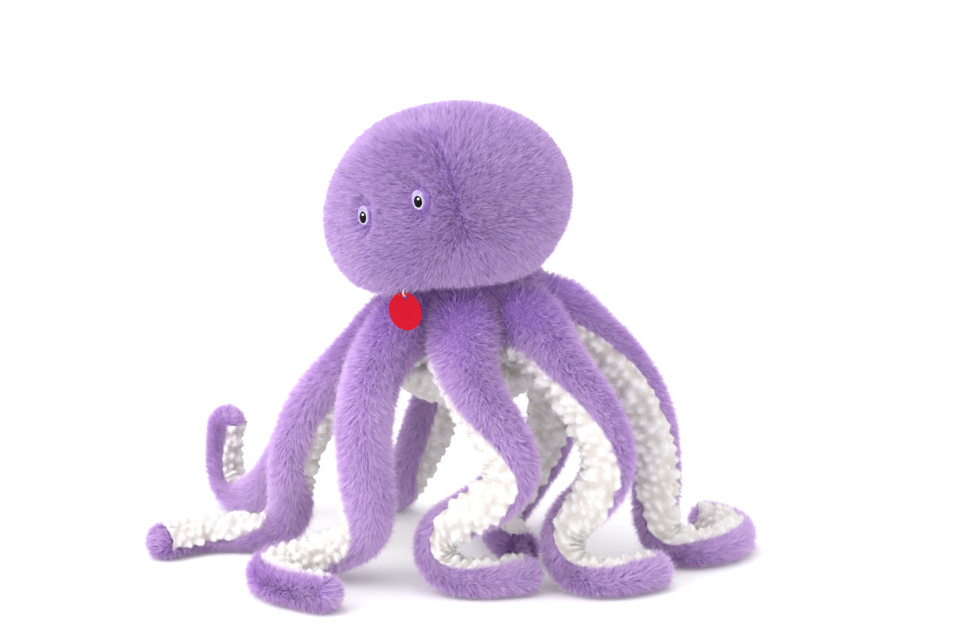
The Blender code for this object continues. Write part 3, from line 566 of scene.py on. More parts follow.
# Each arm's middle line from its seam to its tip: outward and sideways as shares
# of the reach, clear height as a share of the root's, and the way its underside faces
armRoutes = [
    [
        [0, 0, 1, 0.06, -0.01, -1], [0.106, -0.004, 0.983, -0.33, -0.36, -0.87],
        [0.197, 0.04, 0.843, -0.36, -0.77, -0.53], [0.239, 0.121, 0.696, 0.01, -0.81, -0.59],
        [0.264, 0.197, 0.546, 0.44, -0.86, -0.27], [0.263, 0.205, 0.442, 0.76, -0.64, 0.11],
        [0.252, 0.147, 0.354, 0.94, -0.31, 0.17], [0.228, 0.009, 0.254, 0.97, -0.05, -0.24],
        [0.211, -0.077, 0.158, 0.53, 0.78, -0.32], [0.219, -0.077, 0.068, 0.04, 0.9, 0.42],
        [0.238, -0.014, 0.01, -0.44, 0.35, 0.82], [0.242, 0.092, 0, -0.63, -0.1, 0.77],
        [0.19, 0.238, 0, -0.69, -0.32, 0.65],
    ],
    [
        [0, 0, 1, 0.18, 0.02, -0.98], [0.115, 0.016, 1, -0.15, -0.32, -0.94],
        [0.239, 0.064, 0.877, -0.39, -0.68, -0.62], [0.341, 0.109, 0.736, -0.2, -0.88, -0.43],
        [0.414, 0.143, 0.578, 0.03, -0.99, -0.14], [0.431, 0.148, 0.45, 0.25, -0.97, 0.07],
        [0.39, 0.121, 0.335, 0.47, -0.88, 0.03], [0.3, 0.07, 0.21, 0.87, -0.36, -0.32],
        [0.285, 0.052, 0.125, 0.96, 0.26, 0.09], [0.338, 0.052, 0.028, 0.34, 0.63, 0.7],
        [0.44, 0.103, 0, -0.4, 0.43, 0.81], [0.475, 0.164, 0, -0.62, 0.21, 0.76],
        [0.499, 0.317, 0, -0.78, 0.05, 0.63],
    ],
    [
        [0, 0, 1, 0.31, 0.11, -0.94], [0.113, 0.038, 1.021, -0.03, -0.42, -0.91],
        [0.238, 0.058, 0.929, -0.38, -0.77, -0.51], [0.364, 0.066, 0.78, -0.31, -0.91, -0.27],
        [0.454, 0.069, 0.603, -0.24, -0.97, -0.1], [0.495, 0.067, 0.419, -0.06, -1, 0.03],
        [0.507, 0.052, 0.247, 0.3, -0.94, 0.15], [0.513, 0.026, 0.11, 0.68, -0.66, 0.32],
        [0.56, 0.003, 0.017, 0.54, -0.14, 0.83], [0.652, -0.001, 0, -0.02, 0.35, 0.94],
        [0.754, 0.054, 0, -0.45, 0.46, 0.77], [0.806, 0.14, 0, -0.71, 0.19, 0.68],
        [0.795, 0.261, 0, -0.69, -0.37, 0.63], [0.699, 0.352, 0, -0.47, -0.68, 0.57],
    ],
    [
        [0, 0, 1, -0.4, -0.14, -0.91], [0.119, 0.04, 0.906, -0.62, -0.18, -0.76],
        [0.211, 0.065, 0.754, -0.85, -0.26, -0.46], [0.262, 0.077, 0.599, -0.93, -0.29, -0.23],
        [0.275, 0.079, 0.461, -0.93, -0.37, 0], [0.255, 0.091, 0.328, -0.87, -0.45, 0.21],
        [0.209, 0.109, 0.216, -0.79, -0.49, 0.37], [0.141, 0.131, 0.107, -0.77, -0.51, 0.38],
        [0.072, 0.139, 0.015, -0.32, -0.51, 0.8], [0.01, 0.106, 0, 0.21, -0.25, 0.95],
        [-0.012, 0.069, 0, 0.32, -0.15, 0.93], [-0.074, -0.068, 0, 0.49, -0.2, 0.85],
        [-0.12, -0.199, 0, 0.6, -0.2, 0.77],
    ],
    [
        [0, 0, 1, -0.47, -0.2, -0.86], [0.114, 0.055, 0.88, -0.73, -0.23, -0.64],
        [0.177, 0.122, 0.69, -0.67, -0.6, -0.44], [0.222, 0.176, 0.53, -0.43, -0.78, -0.44],
        [0.249, 0.226, 0.383, -0.27, -0.89, -0.37], [0.256, 0.27, 0.255, -0.09, -0.93, -0.36],
        [0.258, 0.312, 0.145, 0.17, -0.9, -0.4], [0.275, 0.352, 0.063, 0.75, -0.66, -0.03],
        [0.323, 0.393, 0.014, 0.64, -0.49, 0.6], [0.405, 0.443, 0, 0.28, -0.39, 0.88],
        [0.501, 0.498, 0, 0.16, -0.3, 0.94], [0.63, 0.565, 0, 0.1, -0.2, 0.98],
        [0.751, 0.627, 0, 0.06, -0.12, 0.99],
    ],
    [
        [0, 0, 1, -0.52, -0.19, -0.83], [0.116, 0.045, 0.89, -0.59, -0.16, -0.79],
        [0.23, 0.106, 0.758, -0.66, -0.17, -0.73], [0.342, 0.168, 0.622, -0.66, -0.17, -0.73],
        [0.442, 0.224, 0.493, -0.71, -0.24, -0.66], [0.528, 0.273, 0.358, -0.75, -0.28, -0.6],
        [0.602, 0.327, 0.228, -0.69, -0.45, -0.56], [0.664, 0.366, 0.107, -0.08, -0.92, -0.38],
        [0.742, 0.395, 0.025, 0.48, -0.81, 0.34], [0.816, 0.415, 0, 0.09, -0.6, 0.79],
        [0.894, 0.429, 0.052, -0.67, -0.57, 0.48], [0.917, 0.428, 0.165, -0.83, -0.56, 0],
        [0.915, 0.415, 0.326, -0.82, -0.57, -0.1],
    ],
    [
        [0, 0, 1, -0.4, -0.09, -0.91], [0.12, 0.025, 0.918, -0.53, -0.09, -0.84],
        [0.23, 0.044, 0.81, -0.66, -0.13, -0.74], [0.33, 0.056, 0.695, -0.72, -0.15, -0.68],
        [0.413, 0.06, 0.572, -0.85, -0.14, -0.51], [0.466, 0.056, 0.435, -0.94, -0.14, -0.3],
        [0.495, 0.046, 0.304, -0.91, -0.4, -0.1], [0.505, 0.033, 0.18, -0.38, -0.92, 0.08],
        [0.522, 0.029, 0.069, 0.39, -0.9, 0.16], [0.603, 0.04, 0.009, 0.29, -0.24, 0.92],
        [0.73, 0.043, 0, -0.02, 0.36, 0.93], [0.86, 0.073, 0, -0.23, 0.46, 0.86],
        [0.975, 0.172, 0, -0.4, 0.37, 0.84],
    ],
    [
        [0, 0, 1, 0.17, 0.01, -0.99], [0.118, 0.009, 1, -0.18, -0.22, -0.96],
        [0.253, 0.027, 0.882, -0.68, -0.42, -0.6], [0.329, 0.049, 0.717, -0.66, -0.67, -0.33],
        [0.36, 0.077, 0.508, -0.3, -0.94, -0.15], [0.35, 0.087, 0.298, 0.31, -0.95, 0.09],
        [0.338, 0.04, 0.158, 0.72, -0.55, 0.43], [0.372, -0.064, 0.066, 0.79, 0.04, 0.61],
        [0.466, -0.165, 0.006, 0.52, 0.56, 0.64], [0.574, -0.199, 0, -0.1, 0.78, 0.62],
        [0.653, -0.143, 0, -0.7, 0.45, 0.55], [0.666, -0.015, 0, -0.85, -0.17, 0.5],
        [0.602, 0.149, 0, -0.79, -0.39, 0.47],
    ],
]


def naturalSpline(values, stations, wanted):
    # Rows of a natural cubic spline through values at stations, for each wanted station
    count = len(values)
    gaps = np.diff(stations)
    system = np.zeros((count, count))
    target = np.zeros(values.shape)
    system[0, 0] = system[-1, -1] = 1.0
    for i in range(1, count - 1):
        system[i, i - 1:i + 2] = gaps[i - 1], 2.0 * (gaps[i - 1] + gaps[i]), gaps[i]
        slopes = (values[i + 1] - values[i]) / gaps[i], (values[i] - values[i - 1]) / gaps[i - 1]
        target[i] = 6.0 * (slopes[0] - slopes[1])
    bend = np.linalg.solve(system, target)
    i = np.clip(np.searchsorted(stations, wanted) - 1, 0, count - 2)
    gap = gaps[i][:, None]
    before = (stations[i + 1] - wanted)[:, None] / gap
    after = (wanted - stations[i])[:, None] / gap
    curved = (before ** 3 - before) * bend[i] + (after ** 3 - after) * bend[i + 1]
    return before * values[i] + after * values[i + 1] + curved * gap ** 2 / 6.0


def armLine(route, samples):
    # Middle line with its tangents and facings, in the arm's own frame
    shares = np.linspace(0.0, 1.0, len(route))
    clearHeight = body["rootHeight"] - arms["middleRadii"][0]
    table = np.array(route, float)
    for _ in range(3):
        rows = table.copy()
        rows[:, :2] *= arms["reach"]
        rows[:, 2] *= clearHeight
        rows[:, 2] += np.interp(shares, arms["middlePlaces"], arms["middleRadii"])
        rows[:, 2] -= np.where(table[:, 2] == 0.0, arms["flatDepth"], 0.0) + body["rootHeight"]
        shares = distancesAlong(rows[:, :3])
        shares = shares / shares[-1]
    fine = np.linspace(0.0, 1.0, samples)
    line = naturalSpline(rows, shares, fine)
    tangents = unit(np.gradient(line[:, :3], axis=0))
    return line[:, :3], tangents, squareTo(tangents, unit(line[:, 3:]))


def armBearing(number):
    # The arms stand evenly round the toy, with its face between the first and the last
    bearing = 2.0 * math.pi * (number - 0.5) / len(armRoutes)
    outward = np.array([math.sin(bearing), -math.cos(bearing), 0.0])
    sideways = np.array([math.cos(bearing), math.sin(bearing), 0.0])
    return outward, sideways


def armSurface(number):
    # A function that gives points, normals and tangents on the arm for distances and angles
    centres, tangents, facings = armLine(armRoutes[number - 1], arms["samples"])
    outward, sideways = armBearing(number)
    turn = np.stack([outward, sideways, upwards])
    seam = axisPlace + outward * body["rootCircle"] + upwards * body["rootHeight"]
    centres, tangents, facings = centres @ turn + seam, tangents @ turn, facings @ turn
    stations = distancesAlong(centres)
    whole = stations[-1]
    tipRadius = arms["radii"][-1]
    full = arms["shoulders"][number - 1]

    def surface(distance, angle, inset):
        held = np.clip(distance, 0.0, whole)

        def along(values):
            return np.stack([np.interp(held, stations, values[:, k]) for k in range(3)], -1)

        tangent = unit(along(tangents))
        facing = squareTo(tangent, along(facings))
        side = np.cross(tangent, facing)
        radius = np.interp(held / whole, arms["radiusPlaces"], arms["radii"]) - inset
        fromShoulder = (held - arms["shoulderPlace"]) / arms["shoulderSpread"]
        radius = radius + full * np.maximum(-np.cos(angle), 0.0) * np.exp(-fromShoulder ** 2)
        behind = np.minimum(distance, 0.0)
        past = np.clip((distance - whole) / tipRadius, 0.0, 0.5 * math.pi)
        ring = np.cos(angle)[..., None] * facing + np.sin(angle)[..., None] * side
        normal = np.cos(past)[..., None] * ring + np.sin(past)[..., None] * tangent
        point = along(centres) + tangent * behind[..., None] + normal * radius[..., None]
        flow = np.cos(past)[..., None] * tangent - np.sin(past)[..., None] * ring
        return point, normal, flow

    return surface, whole, tipRadius, seam, outward


def windowAt(share):
    # Half angle of the white underside at a share of the arm's length
    nearRoot, nearTip = np.radians(arms["windowAngle"])
    return nearRoot + (nearTip - nearRoot) * smooth(share, *arms["windowPlaces"])


def armPile(number, surface, whole, tipRadius):
    # Parts of the purple cover: its backing and the strands that grow from it
    end = whole + tipRadius * 0.5 * math.pi
    alongTube, overTip = arms["skinRings"]
    distance = np.concatenate([
        np.linspace(-arms["intoBody"], whole, alongTube), np.linspace(whole, end, overTip)[1:],
    ])
    angle = np.linspace(-math.pi, math.pi, arms["skinColumns"], endpoint=False)
    d, a = np.meshgrid(distance, angle, indexing="ij")
    points, _, _ = surface(d, a, arms["skinDepth"])
    points[..., 2] = np.maximum(points[..., 2], floorClear)
    skin = skinPart(points)

    count = arms["strands"]
    d = rng.uniform(0.0, end, count)
    onTip = d > whole
    reach = np.where(onTip, math.pi, math.pi - windowAt(d / whole))
    keep = ~onTip | (rng.uniform(0.0, 1.0, count) < np.cos((d - whole) / tipRadius))
    a = math.pi + rng.uniform(-1.0, 1.0, count) * reach
    d, a = d[keep], a[keep]
    roots, normals, flow = surface(d, a, arms["skinDepth"])
    side = np.cross(normals, flow)
    # The nap lies tipwards, and a little to both sides of the arm's back
    (longRise, longReach), (roundRise, roundReach) = arms["longWave"], arms["roundWave"]
    wave = longRise * np.sin(d / longReach + arms["wavePhase"] * number)
    wave += roundRise * np.sin(a * 2.0 + d / roundReach)
    combs = unit(flow + (wave + arms["backParting"] * np.sin(a))[:, None] * side)
    lengths = arms["furLength"] * rng.uniform(*arms["lengths"], len(d))
    tones = rng.normal(arms["tone"], toneSpread, len(d))
    return [skin, strandPart(roots, normals, combs, lengths, tones, pileStyle)]


def armFleece(number, surface, whole):
    # Parts of the white underside: the bobbled strip and its fuzz
    tuck = arms["tuck"]
    distance = np.linspace(-0.5 * arms["intoBody"], whole + arms["fleeceTip"], arms["fleeceRings"])
    across = np.linspace(-tuck, tuck, arms["fleeceColumns"])
    d, across = np.meshgrid(distance, across, indexing="ij")
    a = across * windowAt(d / whole)
    offset = arms["bobbleOffset"]
    bump = bobbles(d + offset + arms["bobbleShift"] * number, a * arms["windowRadius"] + offset)
    edge = np.clip((tuck - np.abs(across)) / arms["edge"], 0.0, 1.0)
    points, normals, _ = surface(d, a, 0.0)
    rise = edge * (arms["fleeceLift"] + bump * fleece["bump"]) - arms["edgeSink"]
    points = points + normals * rise[..., None]
    points[..., 2] = np.maximum(points[..., 2], floorClear)
    strip = gridPart(points, fleeceTones(bump), fleeceHeight, False)
    return [strip, fuzzOver(points, normals, arms["fuzz"])]


def buildArm(number):
    surface, whole, tipRadius, seam, outward = armSurface(number)
    name = "arm_%d" % number
    furred = layPiece(name + "_pile", purplePile, armPile(number, surface, whole, tipRadius))
    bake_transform(furred)
    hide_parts(name + "_fur", name + "_filling")

    white = layPiece(name + "_fleece", whiteFleece, armFleece(number, surface, whole))
    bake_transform(white)
    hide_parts(name + "_underside")
    print(name, "done")


for number in range(1, len(armRoutes) + 1):
    buildArm(number)


# Head

head = {
    "centre": [-0.0036, -0.038, 0.352],
    "half": [0.1160, 0.1085, 0.0935, 0.0900],    # aside, deep, up and down
    "roll": -19.0,
    "turn": 4.7,
    "skinDepth": 0.0064,
    "muzzleSwell": 0.0060,
    "muzzleSpread": 0.16,
    "browDent": 0.0040,
    "browSpread": 0.10,
    "crownFurrow": 0.0030,
    "furrowPlace": -0.30,     # forward of the middle
    "furrowWidth": 0.16,
    "crownFill": 0.0050,      # the filling is packed fuller at the back of the toy's right
    "fillSpread": 0.10,
    "faceSeam": 0.0080,       # how far behind its middle the face panel ends
    "baseHeight": 0.2870,     # the head is flat under this height, where it sits on the body
    "baseRise": 0.0150,       # and higher over the two full front shoulders, between these places
    "riseLeft": [-0.080, -0.020],
    "riseForward": [-0.040, 0.030],
    "furLength": 0.0114,
    "lengths": [0.8, 1.1],
    "strands": 400000,
    # The head's pile is painted darker than the arms' and body's, whose paler tone is painted light
    # against the head's shade over them
    "tone": 0.52,
}
headCentre = axisPlace + np.array(head["centre"])
headTurn = np.array(Euler((0.0, math.radians(head["roll"]), math.radians(head["turn"]))).to_matrix())
muzzleWay = unit(np.array([-0.10, -0.93, -0.36]))
browWay = unit(np.array([0.0, -0.86, 0.52]))
fullWay = unit(np.array([-0.45, -0.15, 0.87]))

# Level directions: to the toy's left and a little back, and forward and a little to its left.
# The muzzle's nap is brushed against the first, and the full shoulders lie along the second
brushTurn = math.radians(30.0)
leftAndBack = np.array([math.cos(brushTurn), math.sin(brushTurn), 0.0])
forwardAndLeft = np.array([math.sin(brushTurn), -math.cos(brushTurn), 0.0])


def headBase(points):
    # Height of the head's flat underside at each point
    local = points - axisPlace
    rise = smooth(local @ leftAndBack, *head["riseLeft"])
    rise = rise * smooth(local @ forwardAndLeft, *head["riseForward"])
    return head["baseHeight"] + head["baseRise"] * rise


def aroundWay(ways, way, spread):
    # 1 in one direction from the head's middle, falling to 0 away from it
    return np.exp(-(1.0 - ways @ way) / spread)


def headSize(ways, inset):
    # Half sizes of the head, along its own axes, that hold for directions from its middle
    aside, deep, up, down = head["half"]
    tall = np.where(ways[..., 2] > 0.0, up, down)
    half = np.stack([np.full(tall.shape, aside), np.full(tall.shape, deep), tall], -1) - inset
    swell = head["muzzleSwell"] * aroundWay(ways, muzzleWay, head["muzzleSpread"])
    swell -= head["browDent"] * aroundWay(ways, browWay, head["browSpread"])
    furrow = np.exp(-((ways[..., 1] - head["furrowPlace"]) / head["furrowWidth"]) ** 2)
    swell -= head["crownFurrow"] * furrow * np.maximum(ways[..., 2], 0.0)
    swell += head["crownFill"] * aroundWay(ways, fullWay, head["fillSpread"])
    return half + swell[..., None]


def headForm(ways, inset):
    # Points of the head's surface, in its own frame, for directions from its middle
    ways = unit(ways)
    return ways * headSize(ways, inset)


def headNormals(ways, inset):
    # Outward normals of the head's surface for the same directions
    ways = unit(ways)
    upright = np.abs(ways[..., 2:]) >= 0.9
    helper = np.where(upright, np.array([1.0, 0.0, 0.0]), upwards)
    one = unit(np.cross(ways, helper))
    two = np.cross(ways, one)
    step = 0.02
    run = headForm(ways + step * one, inset) - headForm(ways - step * one, inset)
    rise = headForm(ways + step * two, inset) - headForm(ways - step * two, inset)
    normal = unit(np.cross(run, rise))
    return normal * np.sign(dots(normal, ways))


def nodeAxes(node):
    # Middle, normal and tall axis of a thin oval CAD node
    co = np.array([vertex.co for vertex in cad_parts[node].data.vertices])
    middle = 0.5 * (co.max(0) + co.min(0))
    _, _, axes = np.linalg.svd(co - co.mean(0), full_matrices=False)
    normal = axes[2] if axes[2] @ (middle - headCentre) > 0.0 else -axes[2]
    tall = axes[0] if axes[0][2] > 0.0 else -axes[0]
    return middle, normal, tall


eyes = {
    "patchHalf": [0.0063, 0.0093],
    "patchDeep": 0.0016,
    "patchLift": 0.0002,
    "pupilHalf": [0.0042, 0.0057],
    "pupilDeep": 0.0020,
    "pupilLift": 0.0014,
    "pupilDown": 0.0018,      # the pupil sits this far under the patch's middle
    "rim": 0.0006,            # white stitching round the pupil
    "rimDeep": 0.0014,
    "rimLift": 0.0009,
    "glint": 0.0011,
    "glintDeep": 0.0004,
    "glintLift": 0.0030,
    "glintPlace": [0.0012, 0.0020],
    "bare": 0.97,             # no pile grows within this share of a patch's half sizes
    "trimmed": 1.6,           # and it regains its length over this many more
    "reach": [3.2, 0.02],     # an eye parts the nap no farther than this, in shares and in depth
    "underShare": 0.3,        # a pad's underside bulges by this share of its depth
}
eyeSeats = {side: nodeAxes("eye_patch_" + side) for side in ("right", "left")}


def newBall(name, segments, rings, material):
    # A smooth ball of radius 1, and its points
    bpy.ops.object.select_all(action="DESELECT")
    bpy.ops.mesh.primitive_uv_sphere_add(segments=segments, ring_count=rings, radius=1.0)
    made = bpy.context.object
    made.name = made.data.name = name
    made.data.materials.append(material)
    made.data.polygons.foreach_set("use_smooth", np.ones(len(made.data.polygons), bool))
    return made, np.array([vertex.co for vertex in made.data.vertices])


def setPoints(made, points):
    made.data.vertices.foreach_set("co", points.ravel())
    made.data.update()


backing, ways = newBall("head_backing", 96, 60, purplePile)
places = headForm(ways, head["skinDepth"]) @ headTurn.T + headCentre
places[:, 2] = np.maximum(places[:, 2], headBase(places))
setPoints(backing, places)
for layer in list(backing.data.uv_layers):
    backing.data.uv_layers.remove(layer)
layer = backing.data.uv_layers.new(name=pileMap)
# The head's backing also takes the painted shade of the roots
rootPlaces = np.array(skinPlace) + mapPatch[1] * np.array([[-1, -1], [1, -1], [1, 1], [-1, 1]])
rootPlaces = np.resize(rootPlaces, (len(backing.data.loops), 2))
layer.uv.foreach_set("vector", rootPlaces.astype(np.float32).ravel())
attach(backing, "head")
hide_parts("head_filling")

ways = unit(rng.normal(0.0, 1.0, (head["strands"], 3)))
local = headForm(ways, head["skinDepth"])
localNormals = headNormals(ways, head["skinDepth"])
roots = local @ headTurn.T + headCentre
normals = localNormals @ headTurn.T
keep = roots[:, 2] > headBase(roots)
eyeRoom = np.full(len(roots), 1.0)
eyeAway = np.zeros(roots.shape)
for middle, normal, tall in eyeSeats.values():
    wide = np.cross(tall, normal)
    offset = roots - middle
    x, y = offset @ wide / eyes["patchHalf"][0], offset @ tall / eyes["patchHalf"][1]
    ring = np.hypot(x, y)
    room = np.clip((ring - eyes["bare"]) / eyes["trimmed"], 0.0, 1.0)
    near = (np.abs(offset @ normal) < eyes["reach"][1]) & (ring < eyes["reach"][0])
    keep &= ~(near & (ring < eyes["bare"]))
    eyeRoom = np.where(near, np.minimum(eyeRoom, room), eyeRoom)
    outwards = unit(x[:, None] * wide + y[:, None] * tall)
    eyeAway += np.where(near[:, None], outwards * (1.0 - room)[:, None], 0.0)

# The nap parts along these lines, listed on the photo and given in its pixels
frontSeamPixels = [(430, 129), (438, 146), (449, 167), (455, 191), (461, 215), (467, 239)]
chinCreasePixels = [(418, 242), (421, 261), (423, 287)]

nap = {
    "seenOver": 0.003,        # the partings are seen this far over the head's outline
    "partingWidth": 0.045,
    "seamDepth": 0.45,        # how strongly each line parts it
    "creaseDepth": 0.40,
    "backTurn": [1.05, 1.55],    # so far from the seam, on a ball of radius 1, it turns down the back
    "tangle": 0.8,            # near the seam it lies unevenly
    "tangleReach": 0.15,
    "muzzleReach": 0.10,
    "muzzleHold": 0.7,
    "muzzleBrush": 1.1,
    "muzzleTrim": 0.20,       # it is shorter by this share on the muzzle
    "partedTrim": 0.30,       # and in a parting
    "eyeShare": 0.35,         # and has this share of its length at an eye's rim
    "eyePull": 2.2,
    "seamLean": 0.88,         # it stands nearer upright at the seam
    "seamLeanReach": 0.30,
    "backSpread": 0.3,        # down the back it also runs outwards by this share
    # It waves sideways: with the place across and up, and with the place from front to back
    "waves": [0.25, 0.20],
    "waveReaches": [0.017, 0.019, 0.023],    # across, from front to back, and up
    "wavePhase": 2.0,
}


def seenWay(pixel):
    # Direction from the head's middle, in its own frame, to what shows at a pixel. The head
    # is a ball stretched by half sizes that depend on the direction, so it is found in rounds
    across, down = np.array(pixel) - 0.5 * np.array(photoSize)
    focal = view["lens"] / view["sensor"] * photoSize[0]
    viewUp = np.cross(viewBack, viewRight)
    ray = ((viewRight * across - viewUp * down) / focal - viewBack) @ headTurn
    start = (cameraPlace - headCentre) @ headTurn
    way = unit(start)
    for _ in range(20):
        size = headSize(way, -nap["seenOver"])
        a, b = ray / size, start / size
        reach = -(a @ b + math.sqrt((a @ b) ** 2 - (a @ a) * (b @ b - 1.0))) / (a @ a)
        way = b + a * reach
    return way


def alongLine(pixels):
    # Nearest way from a traced line to each strand's direction, and how far it is
    nearest, offsets = np.full(len(ways), np.inf), np.zeros(ways.shape)
    line = [seenWay(pixel) for pixel in pixels]
    for start, stop in zip(line, line[1:]):
        run = stop - start
        share = np.clip(((ways - start) @ run) / (run @ run), 0.0, 1.0)
        off = ways - start - share[:, None] * run
        apart = np.linalg.norm(off, axis=1)
        closer = apart < nearest
        offsets = np.where(closer[:, None], off, offsets)
        nearest = np.where(closer, apart, nearest)
    return offsets, nearest


seamWay, fromSeam = alongLine(frontSeamPixels)
_, fromCrease = alongLine(chinCreasePixels)
parted = np.maximum(
    nap["seamDepth"] * np.exp(-(fromSeam / nap["partingWidth"]) ** 2),
    nap["creaseDepth"] * np.exp(-(fromCrease / nap["partingWidth"]) ** 2),
)

# From the front seam the nap lies outwards all round, and down the back
down = nap["backSpread"] * unit(normals * level) - upwards
backward = smooth(fromSeam, *nap["backTurn"])[:, None]
flow = (1.0 - backward) * (unit(seamWay) @ headTurn.T) + backward * down
tangled = np.exp(-(fromSeam / nap["tangleReach"]) ** 2)[:, None]
flow += nap["tangle"] * rng.normal(0.0, 1.0, roots.shape) * tangled
muzzle = aroundWay(ways, muzzleWay, nap["muzzleReach"])[:, None]
flow = flow * (1.0 - nap["muzzleHold"] * muzzle) - nap["muzzleBrush"] * muzzle * leftAndBack
flow = flow + nap["eyePull"] * eyeAway
x, y, z = (roots / np.array(nap["waveReaches"])).T
wave = nap["waves"][0] * np.sin(x + nap["wavePhase"]) * np.sin(z) + nap["waves"][1] * np.sin(y)
combs = squareTo(normals, flow)
combs = unit(combs + wave[:, None] * np.cross(normals, combs))
seamLean = nap["seamLean"] + (1.0 - nap["seamLean"]) * smooth(fromSeam, 0.0, nap["seamLeanReach"])
combs *= np.maximum(seamLean, np.linalg.norm(eyeAway, axis=1))[:, None]
lengths = head["furLength"] * rng.uniform(*head["lengths"], len(roots))
lengths *= nap["eyeShare"] + (1.0 - nap["eyeShare"]) * eyeRoom
lengths *= (1.0 - nap["muzzleTrim"] * muzzle[:, 0]) * (1.0 - nap["partedTrim"] * parted)
tones = rng.normal(head["tone"], toneSpread, len(roots))

front = local[:, 1] < head["faceSeam"]
leftSide = local[:, 0] > 0.0
for panel, chosen, node in (
    ("face_pile_right", front & ~leftSide, "face_fur"),
    ("face_pile_left", front & leftSide, "face_fur"),
    ("mantle_pile_right", ~front & ~leftSide, "mantle_fur"),
    ("mantle_pile_left", ~front & leftSide, "mantle_fur"),
):
    use = chosen & keep
    part = strandPart(roots[use], normals[use], combs[use], lengths[use], tones[use], headStyle)
    piece = layPiece(panel, purplePile, [part])
    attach(piece, "head")
    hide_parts(node)
    print(panel, "done", len(piece.data.polygons))


# Eyes

# Felt with glitter pressed in: pale flakes of about a millimetre in a lilac ground
glitter, shader = newMaterial("lilac_glitter_felt", Roughness=0.45, Specular_IOR_Level=0.6)
spots = addNode(glitter, "ShaderNodeTexCoord")
flakes = addNode(glitter, "ShaderNodeTexVoronoi", {"Scale": 1100.0}, {"Vector": (spots, "Object")})
tone = addNode(glitter, "ShaderNodeValToRGB", links={0: (flakes, "Color")})
setStops(tone, [(0.0, "#8c77b2"), (0.6, "#a590c8"), (1.0, "#ddd3ee")])
join(glitter, tone, 0, shader, "Base Color")

# Embroidery thread: the twist of the rayon breaks each satin stitch into fine lights and darks
stitching = grainedMaterial("white_satin_stitch", "#d4cce4", "#e9e3f3", 0.0005, Roughness=0.9)
gloss = grainedMaterial(
    "black_satin_stitch", "#030204", "#0a080c", 0.0005, Roughness=0.35, Specular_IOR_Level=0.08,
)
shine = grainedMaterial("white_glint_stitch", "#f2f2f6", "#fdfdfe", 0.0004, Roughness=0.3)


def ovalDisc(name, seat, half, deep, lift, material, dome):
    # Oval pad on its seat: a ball pressed to a dome that looks along the seat's normal
    middle, normal, tall = seat
    wide = np.cross(tall, normal)
    made, co = newBall(name, 48, 24, material)
    below = co[:, 2] * eyes["underShare"] * deep
    high = np.where(co[:, 2] > 0.0, np.abs(co[:, 2]) ** dome * deep, below)
    placed = middle + co[:, :1] * half[0] * wide + co[:, 1:2] * half[1] * tall
    setPoints(made, placed + (high + lift)[:, None] * normal)
    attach(made, "head")
    return made


for side, seat in eyeSeats.items():
    middle, normal, tall = seat
    lower = (middle - tall * eyes["pupilDown"], normal, tall)
    patch = ovalDisc(
        "eye_felt_" + side, seat, eyes["patchHalf"], eyes["patchDeep"], eyes["patchLift"], glitter, 0.5,
    )
    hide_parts("eye_patch_" + side)
    edging = [half + eyes["rim"] for half in eyes["pupilHalf"]]
    ring = ovalDisc("eye_ring_" + side, lower, edging, eyes["rimDeep"], eyes["rimLift"], stitching, 0.5)
    ball = ovalDisc(
        "eye_button_" + side, lower, eyes["pupilHalf"], eyes["pupilDeep"], eyes["pupilLift"], gloss, 1.0,
    )
    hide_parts("pupil_" + side)
    across, up = eyes["glintPlace"]
    spot = (lower[0] + across * np.cross(tall, normal) + up * tall, normal, tall)
    glint = ovalDisc(
        "eye_glint_" + side, spot, [eyes["glint"]] * 2, eyes["glintDeep"], eyes["glintLift"], shine, 0.5,
    )


# Tag

# Card under a thin matt varnish: its fibres show through the ink as a faint grain
tagCard = grainedMaterial(
    "red_coated_card", "#b3001d", "#c60023", 0.0006, Roughness=0.55, Specular_IOR_Level=0.10,
)
# Drawn nylon: milky, with slightly clearer streaks
loopPlastic = grainedMaterial("white_nylon_loop", "#e4e2e8", "#f4f2f8", 0.0015, Roughness=0.3)
for node, material in (("tag", tagCard), ("tag_loop", loopPlastic)):
    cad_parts[node].data.materials.clear()
    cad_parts[node].data.materials.append(material)


# Floor, light and camera

light = {
    "sky": 0.89,
    "lamps": {                # each one's place, size and energy
        "top": [(-0.2, -0.1, 2.3), 2.4, 21.0],
        "key": [(-1.1, -1.8, 1.6), 1.8, 29.0],
    },
    "aim": (0.04, 0.0, 0.22),
    # The floor's own glow rises from its middle outwards, so that it runs out into the white
    "floorLift": [0.10, 0.75],
    "liftReach": [0.5, 2.6],
}


def shownRays(tree):
    # 1 for rays that show the background itself: straight, mirrored or seen through glass
    path = addNode(tree, "ShaderNodeLightPath")
    mirrored = addNode(
        tree, "ShaderNodeMath", None, {0: (path, "Is Camera Ray"), 1: (path, "Is Glossy Ray")},
        operation="ADD",
    )
    return addNode(
        tree, "ShaderNodeMath", None, {0: (mirrored, 0), 1: (path, "Is Transmission Ray")},
        operation="ADD", use_clamp=True,
    )


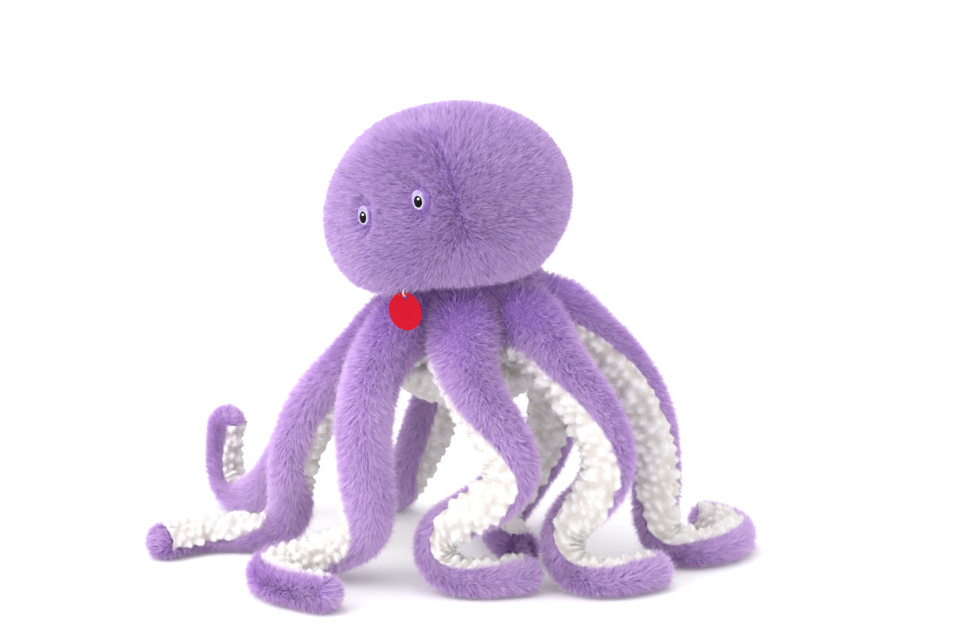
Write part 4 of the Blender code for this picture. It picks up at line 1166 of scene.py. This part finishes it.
floorPaper, shader = newMaterial(
    "white_floor", Roughness=0.9, Base_Color=linear("#fbfbfb"), Specular_IOR_Level=0.0,
)
shown = shownRays(floorPaper)
ground = addNode(floorPaper, "ShaderNodeTexCoord")
reach = addNode(floorPaper, "ShaderNodeVectorMath", links={0: (ground, "Object")}, operation="LENGTH")
near, far = light["liftReach"]
least, most = light["floorLift"]
glow = addNode(
    floorPaper, "ShaderNodeMapRange",
    {"From Min": near, "From Max": far, "To Min": least, "To Max": most},
    {0: (reach, "Value")}, interpolation_type="SMOOTHSTEP",
)
lift = addNode(floorPaper, "ShaderNodeMath", None, {0: (shown, 0), 1: (glow, 0)}, operation="MULTIPLY")
shader.inputs["Emission Color"].default_value = linear("#ffffff")
join(floorPaper, lift, 0, shader, "Emission Strength")
bpy.ops.object.select_all(action="DESELECT")
bpy.ops.mesh.primitive_plane_add(size=40.0, location=(0.0, 0.0, 0.0))
floor = bpy.context.object
floor.name = "floor"
floor.data.materials.append(floorPaper)

world = bpy.data.worlds.new("studio")
bpy.context.scene.world = world
world.use_nodes = True
sky = world.node_tree.nodes["Background"]
sky.inputs["Color"].default_value = linear("#ffffff")
shown = shownRays(world)
strength = addNode(
    world, "ShaderNodeMapRange", {"To Min": light["sky"], "To Max": 1.0}, {0: (shown, 0)},
)
join(world, strength, 0, sky, "Strength")


def addLamp(name, place, size, energy):
    lamp = bpy.data.lights.new(name, "AREA")
    lamp.shape = "DISK"
    lamp.size = size
    lamp.energy = energy
    made = bpy.data.objects.new(name, lamp)
    made.location = place
    made.rotation_euler = (Vector(light["aim"]) - Vector(place)).to_track_quat("-Z", "Y").to_euler()
    bpy.context.scene.collection.objects.link(made)


for name, (place, size, energy) in light["lamps"].items():
    addLamp(name, place, size, energy)

lens = bpy.data.cameras.new("view")
lens.lens = view["lens"]
lens.sensor_width = view["sensor"]
lens.clip_end = 100.0
camera = bpy.data.objects.new("view", lens)
camera.location = cameraPlace
camera.rotation_mode = "QUATERNION"
camera.rotation_quaternion = Vector(-viewBack).to_track_quat("-Z", "Y")
bpy.context.scene.collection.objects.link(camera)
bpy.context.scene.camera = camera
bpy.context.scene.view_settings.view_transform = "Standard"

print("scene done")
